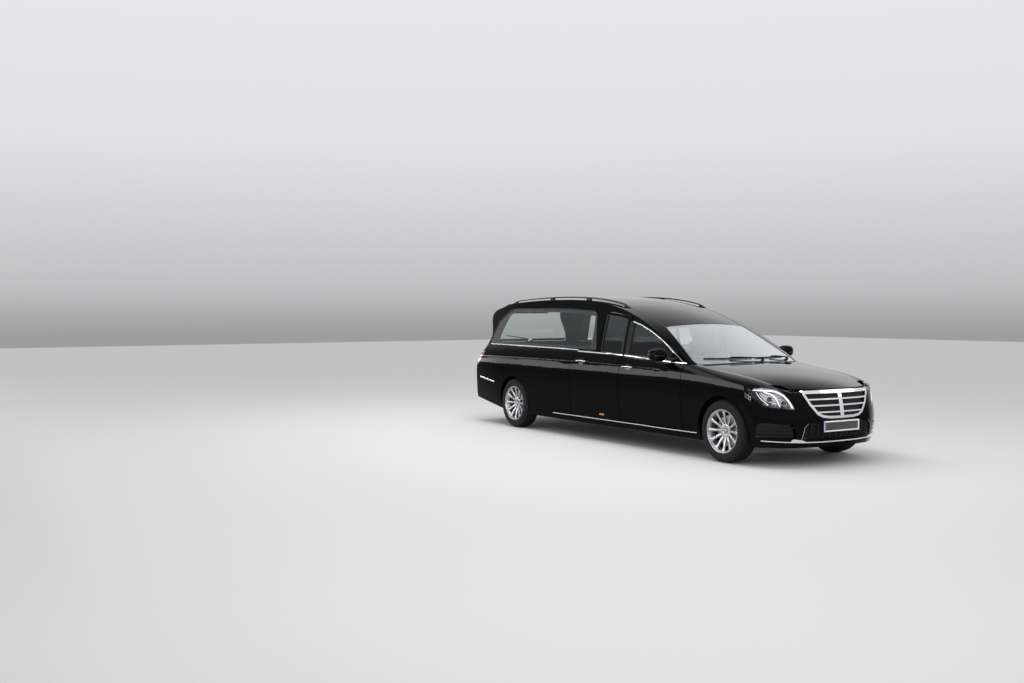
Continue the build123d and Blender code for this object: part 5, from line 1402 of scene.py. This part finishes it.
def make_linings():
    """Headlining, mirror, and the glass between the cabin and the long rear space."""
    look = Skin("roof").ceiling
    for name, ahead, behind, wide in (("front", -1.33, -2.575, (0.55, 0.555)),
                                      ("rear", -2.625, -4.84, (0.555, 0.53))):
        lining = [(ahead, -wide[0]), (behind, -wide[1]), (behind, wide[1]), (ahead, wide[0])]
        add(f"headlining_{name}", patch(look, lining, 0.006, 0.008, 0.06), "roof_lining")
    for name, low, high, bevel, steps, finish in (
        ("cabin_mirror", (-0.012, -0.12, -0.034), (0.012, 0.12, 0.034), 0.011, 4, "black_plastic"),
        ("cabin_mirror_glass", (-0.0135, -0.112, -0.027), (-0.011, 0.112, 0.027), 0.001, 1, "mirror_glass"),
    ):
        add(name, moved(soft_box(low, high, bevel, steps), from_axle(-1.19, 0.0, 1.335), tilted(8)), finish)
    glass_above, _ = Skin("windscreen").ceiling(-1.13, 0.0)
    stem = [from_axle(-1.18, 0, 1.345), from_axle(-1.15, 0, 1.37), glass_above - Vector((0, 0, 0.002))]
    add("cabin_mirror_stem", round_bar(stem, 0.008, 14), "black_plastic")
    pane = [(-0.7, 1.172), (-0.608, 1.598), (0.608, 1.598), (0.7, 1.172)]
    pane = slab(pane, lambda y, z: from_axle(-2.588, y, z), lambda y, z: from_axle(-2.593, y, z))
    add("partition_glass", pane, "window_glass")


DECK_TOP, PLANK_TOP = 0.9, 0.906


def make_deck():
    """A polished deck with bright runners, rollers, stops and low side rails."""
    planks = [axle_box((-5.035, y, DECK_TOP), (-2.605, y + 0.1462, PLANK_TOP),
                       0.0012) for y in (0.1482 * k - 0.5925 for k in range(8))]
    add("deck_planks", join(*planks), "deck_wood")
    runners = [
        axle_box((-5.03, y - 0.016, PLANK_TOP), (-2.62, y + 0.016, PLANK_TOP + 0.006), 0.002)
        for y in (-0.46, -0.21, 0.21, 0.46)
    ]
    add("deck_runners", join(*runners), "deck_steel")
    profile = [(0.0003, -0.06), (0.013, -0.06), (0.0145, -0.056), (0.0145, 0.056), (0.013, 0.06), (0.0003, 0.06)]
    roller, block = lathe(profile, 24), soft_box((-0.014, -0.07, 0.0), (0.014, -0.0615, 0.022))
    for name, y, make in (("outer", 0.335, both_sides), ("inner", 0.0, add)):
        rollers = repeated(moved(roller, from_axle(-4.92, y, PLANK_TOP + 0.012)), 9, (0.27, 0.0, 0.0), "rubber_seal")
        blocks = repeated(moved(block, from_axle(-4.92, y, PLANK_TOP)), 9, (0.27, 0.0, 0.0), "chrome")
        make(f"deck_rollers_{name}", rollers, "rubber_seal", slot="black_plastic")
        make(f"deck_roller_blocks_{name}", join(blocks, moved(blocks, (0, 0.1315, 0))), "deck_steel")
    stop = lathe([(0.0003, 0.0), (0.024, 0.0), (0.024, 0.008), (0.018, 0.012), (0.015, 0.06), (0.012, 0.066),
                  (0.0003, 0.067)], 28)
    stops = [moved(stop, from_axle(x, y, PLANK_TOP), tilted(90, "X")) for x in (-4.75, -2.95) for y in (-0.21, 0.21)]
    add("deck_stops", join(*stops), "chrome")
    high = PLANK_TOP + 0.07
    bar = axle_bar([(-5.0, 0.575, high), (-4.0, 0.58, high), (-2.63, 0.58, high)], 0.009, 16)
    posts = [axle_bar([(x, 0.578, PLANK_TOP - 0.002), (x, 0.578, high)], 0.007, 14) for x in
             (-4.98, -4.4, -3.82, -3.24, -2.66)]
    both_sides("deck_side_rail", join(bar, *posts), "chrome")
    panel = [(-2.9, 0.915), (-2.9, 1.108), (-5.0, 1.118), (-5.0, 0.915)]
    inside = Skin("body_side_left", "rear_door_left").lining
    both_sides("deck_side_lining", patch(inside, panel, 0.006, 0.008, 0.05), "trim_panel")
    shelf = [(-2.66, 0.602), (-2.66, 0.77), (-4.3, 0.762), (-4.9, 0.745), (-5.03, 0.735), (-5.03, 0.602)]
    shelf = slab(shelf, lambda x, y: from_axle(x, y, 0.892), lambda x, y: from_axle(x, y, 0.904))
    both_sides("deck_shelf", shelf, "floor_carpet")
    add("deck_sill", axle_box((-5.1, -0.6, 0.872), (-5.036, 0.6, 0.908), 0.006, 3), "deck_steel")


def make_engine_cover():
    """A moulded cover with ribs over the engine, its filler cap and two coolant hoses."""
    top = 0.74
    cover = axle_box((-0.33, -0.215, top - 0.03), (0.27, 0.215, top + 0.022), 0.02, 4)
    ribs = [axle_box((-0.29, y - 0.006, top + 0.018), (0.23, y + 0.006, top + 0.029), 0.004)
            for y in (-0.165, -0.13, -0.095, 0.095, 0.13, 0.165)]
    spine = axle_box((-0.3, -0.055, top + 0.018), (0.24, 0.055, top + 0.036), 0.01, 3)
    add("engine_cover", join(cover, *ribs, spine), "black_plastic")
    cap = lathe([(0.0003, 0.0), (0.03, 0.0), (0.03, 0.01), (0.024, 0.016), (0.0003, 0.017)], 28)
    add("oil_filler_cap", moved(cap, from_axle(0.18, -0.115, top + 0.021), tilted(90, "X")), "gloss_black")
    hoses = [
        axle_bar([(start, side * 0.2, 0.7), (start + 0.05, side * 0.262, 0.69), (0.3, side * 0.275, 0.64),
                  (0.345, side * 0.262, 0.56), (0.338, side * 0.23, 0.5)], 0.017, 16)
        for side, start in ((1, 0.2), (-1, 0.14))
    ]
    add("coolant_hoses", join(*hoses), "rubber_seal", slot="black_plastic")


make_seats()
make_engine_cover()
make_dash()
make_wheel()
make_doors()
make_console()
make_floor()
make_linings()
make_deck()


# Studio: a pale floor and backdrop sky, broad soft lamps, and the camera where the photograph was taken from
FLOOR_REACH = 40
SKY = [(0.0, 0.2), (0.49, 0.4), (0.51, 0.62), (0.57, 0.88), (0.68, 1.0), (1.0, 0.95)]
SKY_STRENGTH = 0.85
# Each lamp's place, turn in degrees, size and power
LAMPS = {
    "overhead": ((-0.5, -1.2, 5.4), (0, 0, 0), (8.0, 2.4), 240.0),
    "front_right": ((7.5, -6.0, 4.2), (52, 0, 50), (5.0, 3.0), 90.0),
    "front_left": ((7.0, 5.5, 4.0), (52, 0, 128), (4.0, 3.0), 40.0),
    "side": ((-7.5, -7.6, 1.55), (86, 0, 0), (22.0, 0.5), 400.0),
}
# The photo's camera: its width and focal length in pixels, its place, and its turns
PHOTO_WIDTH, FOCAL_LENGTH, SENSOR_WIDTH = 1024.0, 1100.0, 36.0
CAMERA_PLACE = (10.984, -8.87, 1.629)
YAW, PITCH, ROLL = 0.551706, 0.029372, 0.001527


def studio():
    scene = bpy.context.scene
    scene.view_settings.view_transform = "Standard"
    floor_mesh = bpy.data.meshes.new("studio_floor")
    corners = [(-1, -1), (1, -1), (1, 1), (-1, 1)]
    floor_mesh.from_pydata([(x * FLOOR_REACH, y * FLOOR_REACH, 0) for x, y in corners], [], [(0, 1, 2, 3)])
    floor = bpy.data.objects.new("studio_floor", floor_mesh)
    scene.collection.objects.link(floor)
    pale = Finish("pale_floor", (0.62, 0.62, 0.61), 0.85)
    pale.set("Roughness", 0.8 + pale.noise(3.0) * 0.1)
    floor_mesh.materials.append(pale.material)

    world = bpy.data.worlds.new("studio_sky")
    scene.world = world
    world.use_nodes = True
    nodes, links = world.node_tree.nodes, world.node_tree.links
    place = nodes.new("ShaderNodeTexCoord")
    parts = nodes.new("ShaderNodeSeparateXYZ")
    links.new(place.outputs["Generated"], parts.inputs[0])
    ramp = nodes.new("ShaderNodeValToRGB")
    while len(ramp.color_ramp.elements) < len(SKY):
        ramp.color_ramp.elements.new(0.5)
    for element, (height, grey) in zip(ramp.color_ramp.elements, SKY):
        element.position, element.color = height, (grey, grey, grey * 1.02, 1.0)
    half = nodes.new("ShaderNodeMath")
    half.operation = "MULTIPLY_ADD"
    half.inputs[1].default_value = half.inputs[2].default_value = 0.5
    links.new(parts.outputs[2], half.inputs[0])
    links.new(half.outputs[0], ramp.inputs[0])
    links.new(ramp.outputs[0], nodes["Background"].inputs[0])
    nodes["Background"].inputs[1].default_value = SKY_STRENGTH

    for name, (where, turn, size, power) in LAMPS.items():
        light = bpy.data.lights.new(name, "AREA")
        light.shape, light.size, light.size_y = "RECTANGLE", size[0], size[1]
        light.energy = power
        lamp = bpy.data.objects.new(name, light)
        lamp.location, lamp.rotation_euler = where, [math.radians(t) for t in turn]
        # The floor keeps clear of the side lamp, which only draws its line in the paint
        lamp.visible_camera = False
        lamp.visible_diffuse = name != "side"
        scene.collection.objects.link(lamp)

    view = bpy.data.cameras.new("photo_view")
    view.lens, view.sensor_width = FOCAL_LENGTH / PHOTO_WIDTH * SENSOR_WIDTH, SENSOR_WIDTH
    view.clip_end = 200.0
    camera = bpy.data.objects.new("photo_view", view)
    ahead = Vector((-math.cos(YAW) * math.cos(PITCH), math.sin(YAW) * math.cos(PITCH), -math.sin(PITCH)))
    right = ahead.cross(Vector((0, 0, 1))).normalized()
    up = right.cross(ahead)
    rolled = Matrix.Rotation(ROLL, 3, ahead)
    turn = Matrix((rolled @ right, rolled @ up, -ahead)).transposed()
    camera.matrix_world = Matrix.Translation(CAMERA_PLACE) @ turn.to_4x4()
    scene.collection.objects.link(camera)
    scene.camera = camera


studio()
